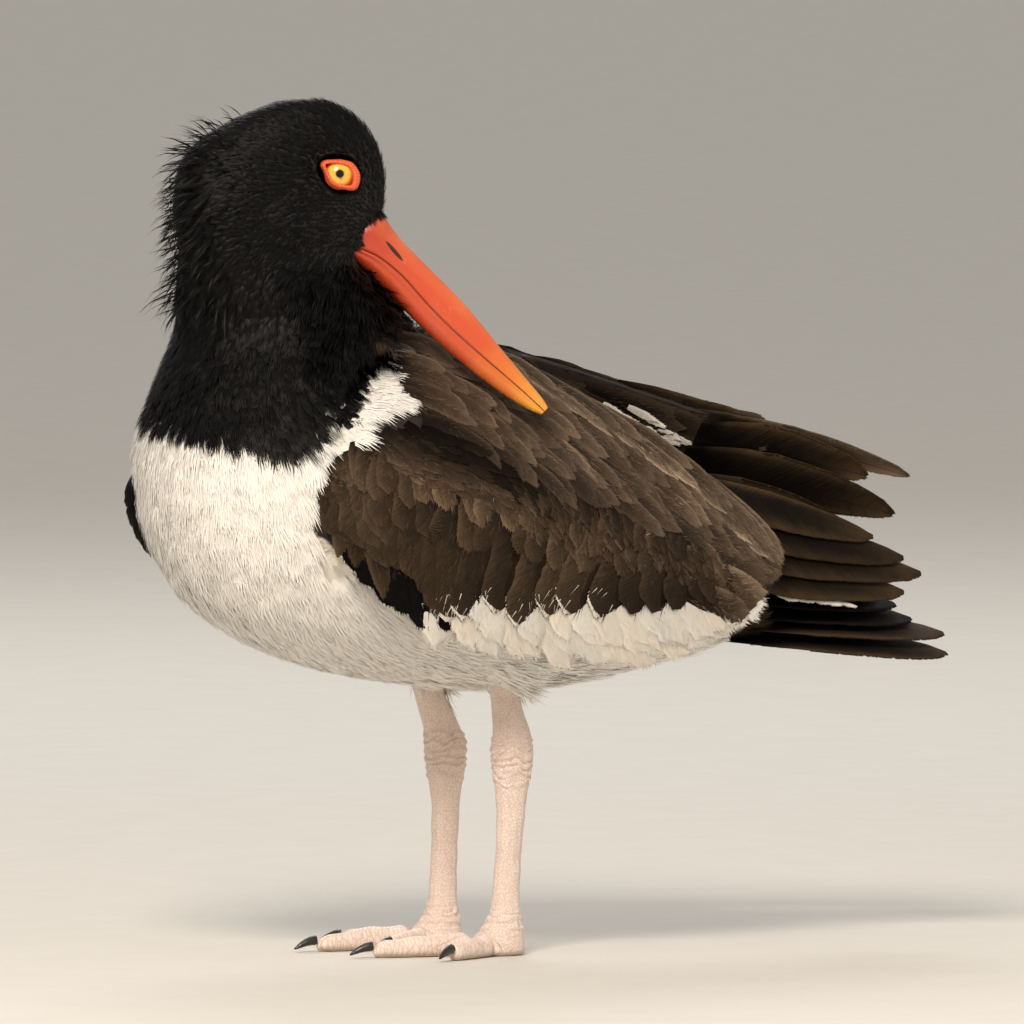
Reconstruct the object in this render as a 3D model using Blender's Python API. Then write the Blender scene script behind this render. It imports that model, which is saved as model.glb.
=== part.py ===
# A life-size American oystercatcher (Haematopus palliatus), standing, with its head turned back over
# its left shoulder. It is a still model, so every named part is one closed solid and nothing moves.
# Sizes are in millimetres until the meshes are made. -X is the way the breast faces, -Y is the bird's
# left side and +Z is up, with the soles at zero height.

import math

import bmesh
import bpy
import numpy as np
from mathutils import Matrix, Vector

MM = 0.001
GAP = 0.4
WING_ROOM = 1.2

# Driving sizes
BILL_LENGTH = 84.0
LEG_SPREAD = 20.0
BODY_TURN_DEG = 28.0
HEAD_NEAR = 43.0
WING_THICKNESS = 5.5
SECONDARIES_THICKNESS = 4.0
FEATHER_THICKNESS = 1.1
BILL_DROP_DEG = 44.1
MIDDLE_TOE = 47.0
OUTER_TOE = 35.0
INNER_TOE = 31.0
CLAW_LENGTH = 8.0
EYE_RADIUS = 5.6
TOE_HALF_WIDTH = 3.25
TOE_HEIGHT = 7.0
TOE_TAPER = 0.24
CLAW_RISE = 4.1
CLAW_THICKNESS = 1.5

# The feet are modelled about the origin, and then all of it moves until its box stands over the origin.
TO_ORIGIN = Vector((-29.0, 0.0, 0.0))

# The bill points this way in plan: back along the body and out over the left side. The head's own
# left-right axis is square to it.
TURN = math.radians(BODY_TURN_DEG)
HEAD_ACROSS = Vector((math.cos(TURN), -math.sin(TURN), 0.0))
HEAD_SIDE = Vector((-math.sin(TURN), -math.cos(TURN), 0.0))
UP = Vector((0.0, 0.0, 1.0))

FLESH_VOXEL = 3.0
FLESH_SMOOTHING = 6
FLESH_KEEP = 0.082

# Trunk sections from breast to tail root: distance along the body, middle height, half height, half width
TRUNK_SECTIONS = (
    (-121, 166, 10, 10),
    (-116, 164, 26, 24),
    (-104, 160.5, 40, 36),
    (-85, 159, 52, 46),
    (-58, 156, 59, 50),
    (-28, 151, 59.5, 50),
    (4, 147, 58, 48),
    (34, 140.5, 50, 42),
    (62, 133, 37, 34),
    (84, 122, 21, 26),
    (106, 111, 9, 18),
)

# Level slices of neck and head from the shoulders up: height, middle along HEAD_ACROSS, half length,
# middle along HEAD_SIDE, half width, and how much narrower the face side is than the nape side
NECK_AND_HEAD_SLICES = (
    (140, -60, 32, 33, 30, 0.0),
    (153, -66, 41, 34, 36, 0.0),
    (167, -69.5, 45, 34, 38, 0.0),
    (180, -69, 44, 35, 38, 0.0),
    (192, -67.5, 41.5, 36, 36, 0.0),
    (203, -62.5, 42, 36, 32, 0.0),
    (213, -59.5, 41.5, 35, 28, 0.02),
    (223, -62.5, 37.5, 38, 25, 0.06),
    (233, -65.8, 33.2, 40.5, 23, 0.12),
    (243, -66.5, 32.2, 42, 21.5, 0.24),
    (251, -64.0, 36.3, 43, 20.3, 0.3),
    (259, -63.4, 36.6, 43, 19.6, 0.3),
    (267, -63.0, 36, 43, 18.4, 0.26),
    (275, -61.8, 32.3, 43, 16.2, 0.2),
    (282, -59, 25.6, 43, 13, 0.12),
    (288, -56.5, 17, 43, 9.2, 0.05),
    (291.4, -55, 8, 43, 4.5, 0.0),
)

# Feathered roots of the legs, as round lumps under the belly: along, side, height, radius
THIGH_LUMPS = ((4, -19, 103, 15), (-6, 19, 103, 15))

# Fuller feathering of the cheeks: across, out from the head's middle, height, radius
CHEEK = (-60, 8.5, 249, 13.5)

# The flesh is parted level above the neck, and on a slope below it
PARTING_ACROSS = -68.0
HEAD_PARTING_HEIGHT = 222.0
NECK_PARTING_HEIGHT = 196.0
NECK_PARTING_SLOPE = 0.35

# The wing's outer surface, as ribs from the back down to the lower edge. Each rib has its top point,
# the sideways place of its middle, and its bottom point.
LEFT_WING_RIBS = (
    ((-60, -27, 203), -41, (-85, -46, 153)),
    ((-44, -17, 213), -49, (-77.5, -50, 137)),
    ((-24, -14, 214), -54, (-61.5, -53.5, 122.5)),
    ((0, -15, 208), -56, (-40, -56, 111.5)),
    ((22, -17, 197), -56, (-16, -57, 107)),
    ((43, -19, 185), -53, (8, -56, 105)),
    ((62, -21, 173.5), -49, (34, -53.5, 104)),
    ((79, -23, 161.5), -44, (58, -49, 106)),
    ((94, -26, 147.5), -39, (79, -44, 111.5)),
    ((105, -30, 133), -35, (98, -38.5, 121)),
)
RIGHT_WING_RIBS = (
    ((-64, 28, 203), 42, (-102, 45, 155)),
    ((-46, 17, 213), 49, (-93, 49, 139)),
    ((-26, 15, 214.5), 54, (-74, 53, 124)),
    ((0, 18, 211), 56, (-47, 56, 113)),
    ((24, 21, 206.5), 55.5, (-19, 57, 109)),
    ((46, 21.5, 200.5), 52, (8, 55.5, 110)),
    ((68, 19.5, 193.5), 46, (35, 52, 115)),
    ((90, 16, 186), 38, (62, 47, 123)),
    ((109, 11, 179), 29, (87, 40, 134)),
    ((124, 7, 174), 21, (110, 31, 147)),
)
WING_STATIONS = 17
WING_ACROSS = 6
WING_ROOM_OUTWARD = 9.0

# Shares of a rib, from the back down, and of the wing, from the bend back, that each solid takes
SCAPULARS_END = 0.30
COVERTS_END = 0.68
TERTIALS_START = 0.73
PART_EDGE = 0.004

# The primaries that show behind each folded wing. They lie one under another in parallel planes, so
# each is given by the distance along the body and the height of its root and of its tip, and a width.
# A plane is: how far its normal leans out and up, its distance from the origin at the first root, and
# how much that shrinks per millimetre further back.
PRIMARY_STEP = 2.1
LEFT_PRIMARIES = {
    "lean": (0.8, 0.6),
    "start": (104, 99.0),
    "closing": 0.216,
    "feathers": (
        ((104, 137), (152, 133), 13),
        ((103.5, 134), (161, 129.5), 14),
        ((103, 131), (167.5, 125.0), 15),
        ((103, 128), (161, 119.5), 15),
    ),
}
RIGHT_PRIMARIES = {
    "lean": (0.87, 0.5),
    "start": (112, 91.9),
    "closing": 0.224,
    "feathers": (
        ((125, 169.1), (169.5, 157.2), 11),
        ((121.5, 164.5), (154, 157.5), 19),
        ((117.5, 155.5), (165.5, 144.0), 20),
        ((113, 146), (155, 135.0), 20),
    ),
}

# Tail: each side slopes down from the middle like a roof, with the middle feathers on top
TAIL_PAIRS = 3
TAIL_ROOT = Vector((107.5, 0, 113.2))
TAIL_LENGTH = 73.0
TAIL_SHORTER = 3.2
TAIL_FEATHER_WIDTH = 20.0
TAIL_SLOPE = 0.4
TAIL_FALL = 2.0
TAIL_STEP = 1.7
TAIL_FAN = 4.5
TAIL_ROOT_OUT = 9.0

# Legs: along, height, half depth, half width
LEFT_LEG = {
    "side": -LEG_SPREAD,
    "tibia": ((1.0, 98, 6.0, 5.4), (2.4, 89, 4.7, 4.3), (3.9, 81, 5.4, 4.7), (5.0, 74.5, 6.7, 5.4)),
    "ankle": ((5.1, 74.1, 6.8, 5.4), (5.2, 69, 7.2, 5.7), (5.0, 63, 6.9, 5.4), (4.9, 57, 5.7, 4.7)),
    "tarsus": (
        (4.9, 56.6, 5.6, 4.6),
        (4.5, 47, 4.5, 3.9),
        (3.6, 32, 4.2, 3.6),
        (2.7, 19, 4.6, 3.9),
        (2.2, 12, 5.6, 5.0),
    ),
    "toe_angles": {"inner": -38.0, "middle": -8.0, "outer": 32.0},
    "foot": (2.0, 5.2),
}
RIGHT_LEG = {
    "side": LEG_SPREAD,
    "tibia": ((-8.4, 98, 6.0, 5.4), (-6.2, 89, 4.9, 4.4), (-2.6, 80, 5.6, 4.8), (-0.1, 73.5, 6.7, 5.4)),
    "ankle": ((0.1, 73.1, 6.8, 5.4), (0.7, 68, 7.2, 5.7), (0.8, 62, 6.9, 5.4), (0.8, 56, 5.7, 4.7)),
    "tarsus": (
        (0.8, 55.6, 5.6, 4.6),
        (0.7, 46, 4.5, 3.9),
        (0.2, 31, 4.2, 3.6),
        (-0.3, 19, 4.6, 3.9),
        (-0.6, 12, 5.6, 5.0),
    ),
    "toe_angles": {"inner": -28.0, "middle": 2.0, "outer": 42.0},
    "foot": (-0.8, 5.2),
}
# The foot's pad: height, how far ahead of the leg its middle lies, half length
FOOT_PAD_LEVELS = ((0.0, 2.9, 9.0), (1.4, 3.0, 9.8), (4.2, 2.9, 9.2), (7.0, 1.4, 7.6), (11.4, 0.0, 5.6))
TOE_LENGTHS = {"inner": INNER_TOE, "middle": MIDDLE_TOE, "outer": OUTER_TOE}
TOE_STARTS = {"inner": 13.2, "middle": 13.2, "outer": 12.4}

# Bill edges along its axis, from the face to the tip: share of the length, top, gape line, bottom, half width
BILL_STATIONS = (
    (0.00, 9.2, -4.6, -9.1, 6.2),
    (0.09, 7.8, -1.8, -8.4, 5.9),
    (0.21, 7.4, -0.9, -8.6, 5.3),
    (0.34, 7.2, -1.7, -8.9, 4.7),
    (0.46, 6.9, -2.1, -8.8, 4.2),
    (0.58, 5.9, -1.9, -8.3, 3.7),
    (0.70, 4.6, -1.4, -7.5, 3.2),
    (0.82, 3.5, -0.8, -6.1, 2.6),
    (0.90, 2.8, -0.5, -4.8, 2.2),
    (0.96, 2.2, -0.4, -3.4, 1.8),
    (1.00, 1.3, -0.4, -2.0, 1.3),
)
BILL_ROOT = (-35.2, 244.2)

# The eye seen from its own side: place along HEAD_ACROSS, height, and the opening's half sizes
EYE_PLACE = (-43.2, 265.8)
EYE_OPENING = (6.6, 5.4)
EYE_CORNER_TILT_DEG = -28.0
EYE_RING_WIDTH = 1.7
SKULL_HALF_WIDTH_AT_EYE = 12.9


def remove_everything():
    for old in list(bpy.data.objects):
        bpy.data.objects.remove(old)


def material(name, colour, roughness, metallic=0.0):
    made = bpy.data.materials.new(name)
    made.use_nodes = True
    shader = made.node_tree.nodes["Principled BSDF"]
    shader.inputs["Base Color"].default_value = (*colour, 1.0)
    shader.inputs["Roughness"].default_value = roughness
    shader.inputs["Metallic"].default_value = metallic
    return made


def smooth_rows(rows, count):
    # A Catmull-Rom curve through the rows, read at evenly spaced places
    rows = np.array(rows, float)
    place = np.linspace(0, len(rows) - 1, count)
    first = np.clip(place.astype(int), 0, len(rows) - 2)
    share = (place - first)[:, None]
    before = rows[np.maximum(first - 1, 0)]
    here = rows[first]
    after = rows[first + 1]
    beyond = rows[np.minimum(first + 2, len(rows) - 1)]
    return 0.5 * (
        2 * here
        + (after - before) * share
        + (2 * before - 5 * here + 4 * after - beyond) * share**2
        + (3 * here - before - 3 * after + beyond) * share**3
    )


def mesh_from(name, points, faces):
    # A closed mesh in metres with its faces turned outwards
    mesh = bpy.data.meshes.new(name)
    mesh.from_pydata([tuple(p * MM for p in point) for point in points], [], faces)
    shell = bmesh.new()
    shell.from_mesh(mesh)
    bmesh.ops.recalc_face_normals(shell, faces=shell.faces)
    shell.to_mesh(mesh)
    shell.free()
    return mesh


def add(name, mesh, finish=None, sharp_deg=50):
    made = bpy.data.objects.new(name, mesh)
    bpy.context.scene.collection.objects.link(made)
    if finish:
        mesh.materials.clear()
        mesh.materials.append(finish)
        mesh.shade_smooth()
        mesh.set_sharp_from_angle(angle=math.radians(sharp_deg))
    return made


def ring_solid(rings):
    # Joins rings of equal length into a tube and closes each end with a fan
    rings = np.array(rings, float)
    count, sides = rings.shape[:2]
    points = [tuple(p) for p in rings.reshape(-1, 3)]
    points.append(tuple(rings[0].mean(0)))
    points.append(tuple(rings[-1].mean(0)))
    faces = []
    for ring in range(count - 1):
        for side in range(sides):
            follow = (side + 1) % sides
            base = ring * sides
            faces.append((base + side, base + follow, base + sides + follow, base + sides + side))
    last = (count - 1) * sides
    for side in range(sides):
        follow = (side + 1) % sides
        faces.append((count * sides, follow, side))
        faces.append((count * sides + 1, last + side, last + follow))
    return points, faces


def oval(middle, long_axis, short_axis, half_long, half_short, sides, narrowing=0.0, squareness=2.2):
    # A superellipse; narrowing draws in the side that long_axis points to
    ring = []
    for step in range(sides):
        angle = 2 * math.pi * step / sides
        along = math.copysign(abs(math.cos(angle)) ** (2 / squareness), math.cos(angle))
        across = math.copysign(abs(math.sin(angle)) ** (2 / squareness), math.sin(angle))
        across *= 1 - narrowing * along
        ring.append(Vector(middle) + long_axis * (half_long * along) + short_axis * (half_short * across))
    return ring


def in_head(across, near, height):
    # A point given along the head's own axes
    return HEAD_ACROSS * across + HEAD_SIDE * near + UP * height


def trunk_form():
    rings = []
    for along, height, half_height, half_width in smooth_rows(TRUNK_SECTIONS, 27):
        middle = Vector((along, 0, height))
        rings.append(oval(middle, UP, Vector((0, 1, 0)), half_height, half_width, 32))
    return ring_solid(rings)


def neck_and_head_form():
    rings = []
    for height, across, half_across, near, half_near, face in smooth_rows(NECK_AND_HEAD_SLICES, 40):
        middle = in_head(across, near, height)
        rings.append(oval(middle, HEAD_ACROSS, HEAD_SIDE, half_across, half_near, 32, face))
    return ring_solid(rings)


def ball_form(middle, radius, rings=10, sides=16):
    slices = []
    for step in range(1, rings):
        angle = math.pi * step / rings
        level = Vector(middle) + UP * (-radius * math.cos(angle))
        across = radius * math.sin(angle)
        slices.append(oval(level, Vector((1, 0, 0)), Vector((0, 1, 0)), across, across, sides, 0, 2))
    return ring_solid(slices)


def cheek_forms():
    across, out, height, radius = CHEEK
    return [ball_form(in_head(across, HEAD_NEAR + side * out, height), radius) for side in (-1, 1)]


def evaluated_mesh(source):
    graph = bpy.context.evaluated_depsgraph_get()
    return bpy.data.meshes.new_from_object(source.evaluated_get(graph))


def whole_flesh():
    # Overlapping forms made one skin by a voxel remesh, smoothed where they join, then thinned
    points, faces = [], []
    forms = [trunk_form(), neck_and_head_form(), *cheek_forms()]
    forms += [ball_form((x, y, z), radius) for x, y, z, radius in THIGH_LUMPS]
    for form_points, form_faces in forms:
        start = len(points)
        points += form_points
        faces += [tuple(start + corner for corner in face) for face in form_faces]
    form = add("flesh_form", mesh_from("flesh_form", points, faces))
    remesh = form.modifiers.new("One skin", "REMESH")
    remesh.mode = "VOXEL"
    remesh.voxel_size = FLESH_VOXEL * MM
    smooth = form.modifiers.new("Blend the joins", "SMOOTH")
    smooth.factor = 0.5
    smooth.iterations = FLESH_SMOOTHING
    thin = form.modifiers.new("Fewer faces", "DECIMATE")
    thin.ratio = FLESH_KEEP
    mesh = evaluated_mesh(form)
    bpy.data.objects.remove(form)
    return mesh


def cut_mesh(mesh, *planes):
    # Keeps what lies on the side of each plane that its normal points to, and caps each cut
    shell = bmesh.new()
    shell.from_mesh(mesh)
    for place, normal in planes:
        every = shell.verts[:] + shell.edges[:] + shell.faces[:]
        cut = bmesh.ops.bisect_plane(
            shell, geom=every, plane_co=place * MM, plane_no=normal, clear_inner=True, dist=1e-6
        )
        rim = [item for item in cut["geom_cut"] if isinstance(item, bmesh.types.BMEdge)]
        bmesh.ops.edgenet_fill(shell, edges=rim)
    bmesh.ops.triangulate(shell, faces=[face for face in shell.faces if len(face.verts) > 4])
    bmesh.ops.recalc_face_normals(shell, faces=shell.faces)
    made = bpy.data.meshes.new("cut")
    shell.to_mesh(made)
    shell.free()
    return made


def subtract(target, cutter):
    cutter.hide_render = True
    cutter.display_type = "WIRE"
    modifier = target.modifiers.new("Room for " + cutter.name, "BOOLEAN")
    modifier.operation = "DIFFERENCE"
    modifier.object = cutter


def rib_point(rib, share):
    # A point down a rib, on the curve through its top, middle and bottom
    top = Vector(rib[0:3])
    middle_side = rib[3]
    bottom = Vector(rib[4:7])
    point = top.lerp(bottom, share)
    bulge = middle_side - (top.y + bottom.y) / 2
    point.y += bulge * 4 * share * (1 - share)
    return point


def wing_patch(ribs, lengthwise, crosswise, outer=0.0, inner=WING_THICKNESS):
    # A curved plate over part of the wing, from its outer surface inwards. lengthwise and crosswise
    # are the shares of the wing and of its ribs where the plate begins and ends.
    flat = [(*rib[0], rib[1], *rib[2]) for rib in ribs]
    rows = smooth_rows(flat, WING_STATIONS * 3)
    stations = max(3, round((lengthwise[1] - lengthwise[0]) * WING_STATIONS))
    across = max(3, round((crosswise[1] - crosswise[0]) * WING_ACROSS) + 1)
    places = np.linspace(*lengthwise, stations)
    shares = np.linspace(*crosswise, across)

    def surface(place, share):
        exact = place * (len(rows) - 1)
        low = int(min(max(math.floor(exact), 0), len(rows) - 2))
        here = rib_point(rows[low], share)
        return here + (rib_point(rows[low + 1], share) - here) * (exact - low)

    def outward(place, share):
        small = 0.01
        along = surface(place + small, share) - surface(place - small, share)
        down = surface(place, share + small) - surface(place, share - small)
        normal = along.cross(down).normalized()
        away = Vector((0, surface(place, share).y, 25)).normalized()
        return normal if normal.dot(away) > 0 else -normal

    sheets = []
    for offset in (outer, -inner):
        sheet = []
        for place in places:
            for share in shares:
                sheet.append(surface(place, share) + outward(place, share) * offset)
        sheets.append(sheet)
    points = [tuple(point) for sheet in sheets for point in sheet]
    faces = []
    size = len(sheets[0])
    for i in range(len(places) - 1):
        for j in range(len(shares) - 1):
            a = i * len(shares) + j
            corners = (a, a + 1, a + len(shares) + 1, a + len(shares))
            faces.append(corners)
            faces.append(tuple(size + c for c in reversed(corners)))
    rim = [i * len(shares) for i in range(len(places))]
    rim += [(len(places) - 1) * len(shares) + j for j in range(1, len(shares))]
    rim += [i * len(shares) + len(shares) - 1 for i in range(len(places) - 2, -1, -1)]
    rim += list(range(len(shares) - 2, 0, -1))
    for here, after in zip(rim, rim[1:] + rim[:1]):
        faces.append((here, after, size + after, size + here))
    return points, faces


def feather_width(share, narrow_root=0.8):
    # Half width of a feather along its length, as a share of its widest, with a rounded tip
    root = narrow_root + (1 - narrow_root) * math.sin(min(share / 0.55, 1.0) * math.pi / 2)
    tip = math.sqrt(max(1 - max((share - 0.72) / 0.28, 0.0) ** 2, 0.0))
    return root * max(tip, 0.12)


def feather_solid(root, tip, width, face_normal, sag=1.0, camber=0.4):
    # One long feather as a thin cambered blade. face_normal is the way its upper side looks.
    root, tip, face_normal = Vector(root), Vector(tip), Vector(face_normal)
    length_axis = (tip - root).normalized()
    width_axis = face_normal.cross(length_axis).normalized()
    face_axis = length_axis.cross(width_axis).normalized()
    steps = 8
    rings = []
    for step in range(steps + 1):
        share = step / steps
        middle = root.lerp(tip, share) + face_axis * (sag * 4 * share * (1 - share))
        half = width / 2 * feather_width(share)
        ring = []
        for across in (-1.0, 0.0, 1.0):
            ring.append(middle + width_axis * (half * across) - face_axis * (camber * across**2))
        under = [point - face_axis * FEATHER_THICKNESS for point in reversed(ring)]
        rings.append(ring + under)
    return ring_solid(rings)


def bill_rows():
    return smooth_rows(BILL_STATIONS, 13)


def bill_frame():
    drop = math.radians(BILL_DROP_DEG)
    axis = (HEAD_ACROSS * math.cos(drop) - UP * math.sin(drop)).normalized()
    rise = (HEAD_ACROSS * math.sin(drop) + UP * math.cos(drop)).normalized()
    return in_head(BILL_ROOT[0], HEAD_NEAR, BILL_ROOT[1]), axis, rise


def mandible(upper):
    # Half of the bill: a blade that is flat at the gape line and rounded away from it
    root, axis, rise = bill_frame()
    rings = []
    for share, top, gape, bottom, half_width in bill_rows():
        edge = top if upper else bottom
        seam = gape + (GAP / 2 if upper else -GAP / 2)
        ring = []
        for step in range(9):
            angle = math.pi * step / 8
            across = math.cos(angle)
            reach = math.sin(angle) ** 0.75
            ring.append(
                root
                + axis * (share * BILL_LENGTH)
                + HEAD_SIDE * (half_width * across)
                + rise * (seam + (edge - seam) * reach)
            )
        ring.append(root + axis * (share * BILL_LENGTH) + HEAD_SIDE * (-half_width * 0.5) + rise * seam)
        ring.append(root + axis * (share * BILL_LENGTH) + HEAD_SIDE * (half_width * 0.5) + rise * seam)
        rings.append(ring)
    return ring_solid(rings)


def almond(scale_long, scale_high, sides=16):
    # The eye's opening in its own plane: round in front, drawn out to a corner behind
    tilt = math.radians(EYE_CORNER_TILT_DEG)
    outline = []
    for step in range(sides):
        angle = 2 * math.pi * step / sides
        x = math.cos(angle)
        y = math.sin(angle)
        corner = 1.0 + 0.28 * max(-x, 0) ** 3
        x, y = x * scale_long * corner, y * scale_high * (1 - 0.18 * max(-x, 0))
        outline.append((x * math.cos(tilt) - y * math.sin(tilt), x * math.sin(tilt) + y * math.cos(tilt)))
    return outline


def eye_axes(side):
    # Looks straight out of the side of the head, turned a little towards the bill and up
    look = (HEAD_SIDE * side + HEAD_ACROSS * 0.16 + UP * 0.06).normalized()
    across = (HEAD_ACROSS - look * HEAD_ACROSS.dot(look)).normalized()
    height = (UP - look * UP.dot(look) - across * UP.dot(across)).normalized()
    middle = in_head(EYE_PLACE[0], HEAD_NEAR + side * SKULL_HALF_WIDTH_AT_EYE, EYE_PLACE[1])
    return middle, across, height, look


def eye_socket(side):
    # A pit with the shape of the opening and its ring, for the head to be cut by
    middle, across, height, look = eye_axes(side)
    rings = []
    for depth, grow in ((-5.5, 0.4), (9.0, 0.4)):
        ring = []
        for x, y in almond(EYE_OPENING[0] + grow, EYE_OPENING[1] + grow):
            ring.append(middle + across * x + height * y + look * depth)
        rings.append(ring)
    return ring_solid(rings)


def eye_ring(side):
    # The bare orange lid: a rounded rim round the opening, higher at its outer edge
    middle, across, height, look = eye_axes(side)
    outer = almond(*EYE_OPENING)
    inner = almond(EYE_OPENING[0] - EYE_RING_WIDTH, EYE_OPENING[1] - EYE_RING_WIDTH)
    sides = len(outer)
    profile = ((0.0, -2.6), (0.0, 0.5), (0.35, 1.2), (0.75, 1.1), (1.0, 0.5), (1.0, -2.6))
    points, faces = [], []
    for (xo, yo), (xi, yi) in zip(outer, inner):
        for share, depth in profile:
            x = xo + (xi - xo) * share
            y = yo + (yi - yo) * share
            points.append(middle + across * x + height * y + look * depth)
    size = len(profile)
    for step in range(sides):
        after = (step + 1) % sides
        for corner in range(size):
            follow = (corner + 1) % size
            faces.append(
                (step * size + corner, after * size + corner, after * size + follow, step * size + follow)
            )
    return points, faces


def eyeball(side):
    middle, across, height, look = eye_axes(side)
    centre = middle - look * (EYE_RADIUS - 0.6)
    inset = EYE_RING_WIDTH + GAP
    inner = almond(EYE_OPENING[0] - inset, EYE_OPENING[1] - inset)
    rings = []
    for depth_share in (0.0, 0.5, 1.0):
        scale = 1.0 - 0.55 * depth_share**2
        ring = []
        for x, y in inner:
            flat = Vector((x * scale, y * scale))
            bulge = math.sqrt(max(EYE_RADIUS**2 - flat.length_squared, 0.0))
            ring.append(centre + across * flat.x + height * flat.y + look * bulge)
        rings.append(ring)
    back = [centre + across * x + height * y + look * 1.2 for x, y in inner]
    return ring_solid([back, *rings])


def leg_piece(side, stations):
    rings = []
    for x, z, deep, wide in smooth_rows(stations, 6):
        rings.append(oval(Vector((x, side, z)), Vector((1, 0, 0)), Vector((0, 1, 0)), deep, wide, 12))
    return ring_solid(rings)


def toe_direction(angle_deg, side):
    # Angles open outwards from straight ahead, on the foot's own side
    angle = math.radians(angle_deg)
    return Vector((-math.cos(angle), math.copysign(1, side) * math.sin(angle), 0))


def toe_ring(place, direction, half_width, height, sides=10):
    across = direction.cross(UP).normalized()
    ring = []
    for step in range(sides):
        angle = 2 * math.pi * step / sides
        level = height / 2 * (1 + 1.12 * math.sin(angle))
        ring.append(place + across * (half_width * math.cos(angle)) + UP * max(level, 0))
    return ring


def toe_solid(foot, direction, length, start):
    # A padded toe with a swelling at each joint, flat underneath
    rings = []
    steps = 9
    for step in range(steps):
        share = step / (steps - 1)
        place = foot + direction * (start + (length - start) * share)
        swell = 1 + 0.10 * math.cos(share * 2 * 2 * math.pi)
        end = math.sqrt(max(1 - max((share - 0.86) / 0.14, 0) ** 2, 0.12))
        taper = 1 - TOE_TAPER * share
        half_width = TOE_HALF_WIDTH * taper * swell * end
        height = TOE_HEIGHT * taper * (1 + 0.5 * (swell - 1)) * (0.45 + 0.55 * end)
        rings.append(toe_ring(place, direction, half_width, height))
    return ring_solid(rings)


def claw_solid(foot, direction, length):
    # A short curved nail over the end of the toe
    across = direction.cross(UP).normalized()
    rings = []
    for share in (0.0, 0.25, 0.5, 0.75, 1.0):
        place = foot + direction * (length + GAP + CLAW_LENGTH * share)
        place.z = CLAW_RISE * (1 - 0.7 * share**1.7)
        half = CLAW_THICKNESS * (1 - share) ** 0.65 + 0.3
        rings.append(oval(place, UP, across, half, half, 8, 0, 2))
    return ring_solid(rings)


def foot_pad(foot):
    # The pad where the toes meet, under the end of the tarsus
    rings = []
    for height, ahead, half in FOOT_PAD_LEVELS:
        middle = Vector((foot.x - ahead, foot.y, height))
        rings.append(oval(middle, Vector((1, 0, 0)), Vector((0, 1, 0)), half, half * 0.84, 16))
    return ring_solid(rings)


def build_leg(name, leg, finishes):
    side = leg["side"]
    foot = Vector((leg["foot"][0], side, 0))
    for part in ("tibia", "ankle", "tarsus"):
        points, faces = leg_piece(side, leg[part])
        add(f"{part}_{name}", mesh_from(part, points, faces), finishes["leg"])
    points, faces = foot_pad(foot)
    add(f"foot_{name}", mesh_from("foot", points, faces), finishes["leg"])
    for toe, angle in leg["toe_angles"].items():
        direction = toe_direction(angle, side)
        length = TOE_LENGTHS[toe]
        start = TOE_STARTS[toe]
        points, faces = toe_solid(foot, direction, length, start)
        add(f"toe_{toe}_{name}", mesh_from("toe", points, faces), finishes["leg"])
        points, faces = claw_solid(foot, direction, length)
        add(f"claw_{toe}_{name}", mesh_from("claw", points, faces), finishes["claw"])


def build_wing(name, ribs, primaries, outward, finishes):
    forward = (0, TERTIALS_START - PART_EDGE)
    rear = (TERTIALS_START + PART_EDGE, 1)
    middle = (SCAPULARS_END + PART_EDGE, COVERTS_END - PART_EDGE)
    parts = {
        "scapulars": (forward, (0, SCAPULARS_END - PART_EDGE), WING_THICKNESS, "brown"),
        "coverts": (forward, middle, WING_THICKNESS, "brown"),
        "secondaries": ((0, 1), (COVERTS_END + PART_EDGE, 1), SECONDARIES_THICKNESS, "wing_white"),
        "tertials": (rear, (0, COVERTS_END - PART_EDGE), WING_THICKNESS, "brown"),
    }
    for part, (lengthwise, crosswise, thickness, finish) in parts.items():
        points, faces = wing_patch(ribs, lengthwise, crosswise, inner=thickness)
        add(f"{part}_{name}", mesh_from(part, points, faces), finishes[finish])
    out, up = primaries["lean"]
    start, distance = primaries["start"]
    closing = primaries["closing"]
    for number, (root, tip, width) in enumerate(primaries["feathers"]):
        ends = []
        for along, height in (root, tip):
            reach = distance - closing * (along - start) - PRIMARY_STEP * number
            ends.append((along, outward * (reach - up * height) / out, height))
        points, faces = feather_solid(*ends, width, Vector((closing, outward * out, up)))
        add(f"primary_{number + 1}_{name}", mesh_from("primary", points, faces), finishes["brown"])


def build_tail(finishes):
    for name, side in (("left", -1), ("right", 1)):
        face = Vector((0, side * TAIL_SLOPE, 1))
        for pair in range(TAIL_PAIRS):
            ends = []
            length = TAIL_LENGTH - TAIL_SHORTER * pair
            tip_out = TAIL_FEATHER_WIDTH / 2 + 2 * GAP + TAIL_FAN * pair
            for along, out, fall in ((0, TAIL_ROOT_OUT, 0), (length, tip_out, TAIL_FALL)):
                drop = TAIL_SLOPE * out + TAIL_STEP * pair + fall
                ends.append(TAIL_ROOT + Vector((along, side * out, -drop)))
            points, faces = feather_solid(*ends, TAIL_FEATHER_WIDTH, face, camber=0)
            add(f"tail_{pair + 1}_{name}", mesh_from("tail", points, faces), finishes["black"])


def build_head_details(head, finishes):
    for name, side in (("right", 1), ("left", -1)):
        points, faces = eye_socket(side)
        subtract(head, add(f"socket_{name}", mesh_from("socket", points, faces)))
        points, faces = eye_ring(side)
        add(f"eye_ring_{name}", mesh_from("eye_ring", points, faces), finishes["lid"])
        points, faces = eyeball(side)
        add(f"eye_{name}", mesh_from("eye", points, faces), finishes["eye"])
    for name, upper in (("upper", True), ("lower", False)):
        points, faces = mandible(upper)
        add(f"bill_{name}", mesh_from("bill", points, faces), finishes["bill"])


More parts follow.
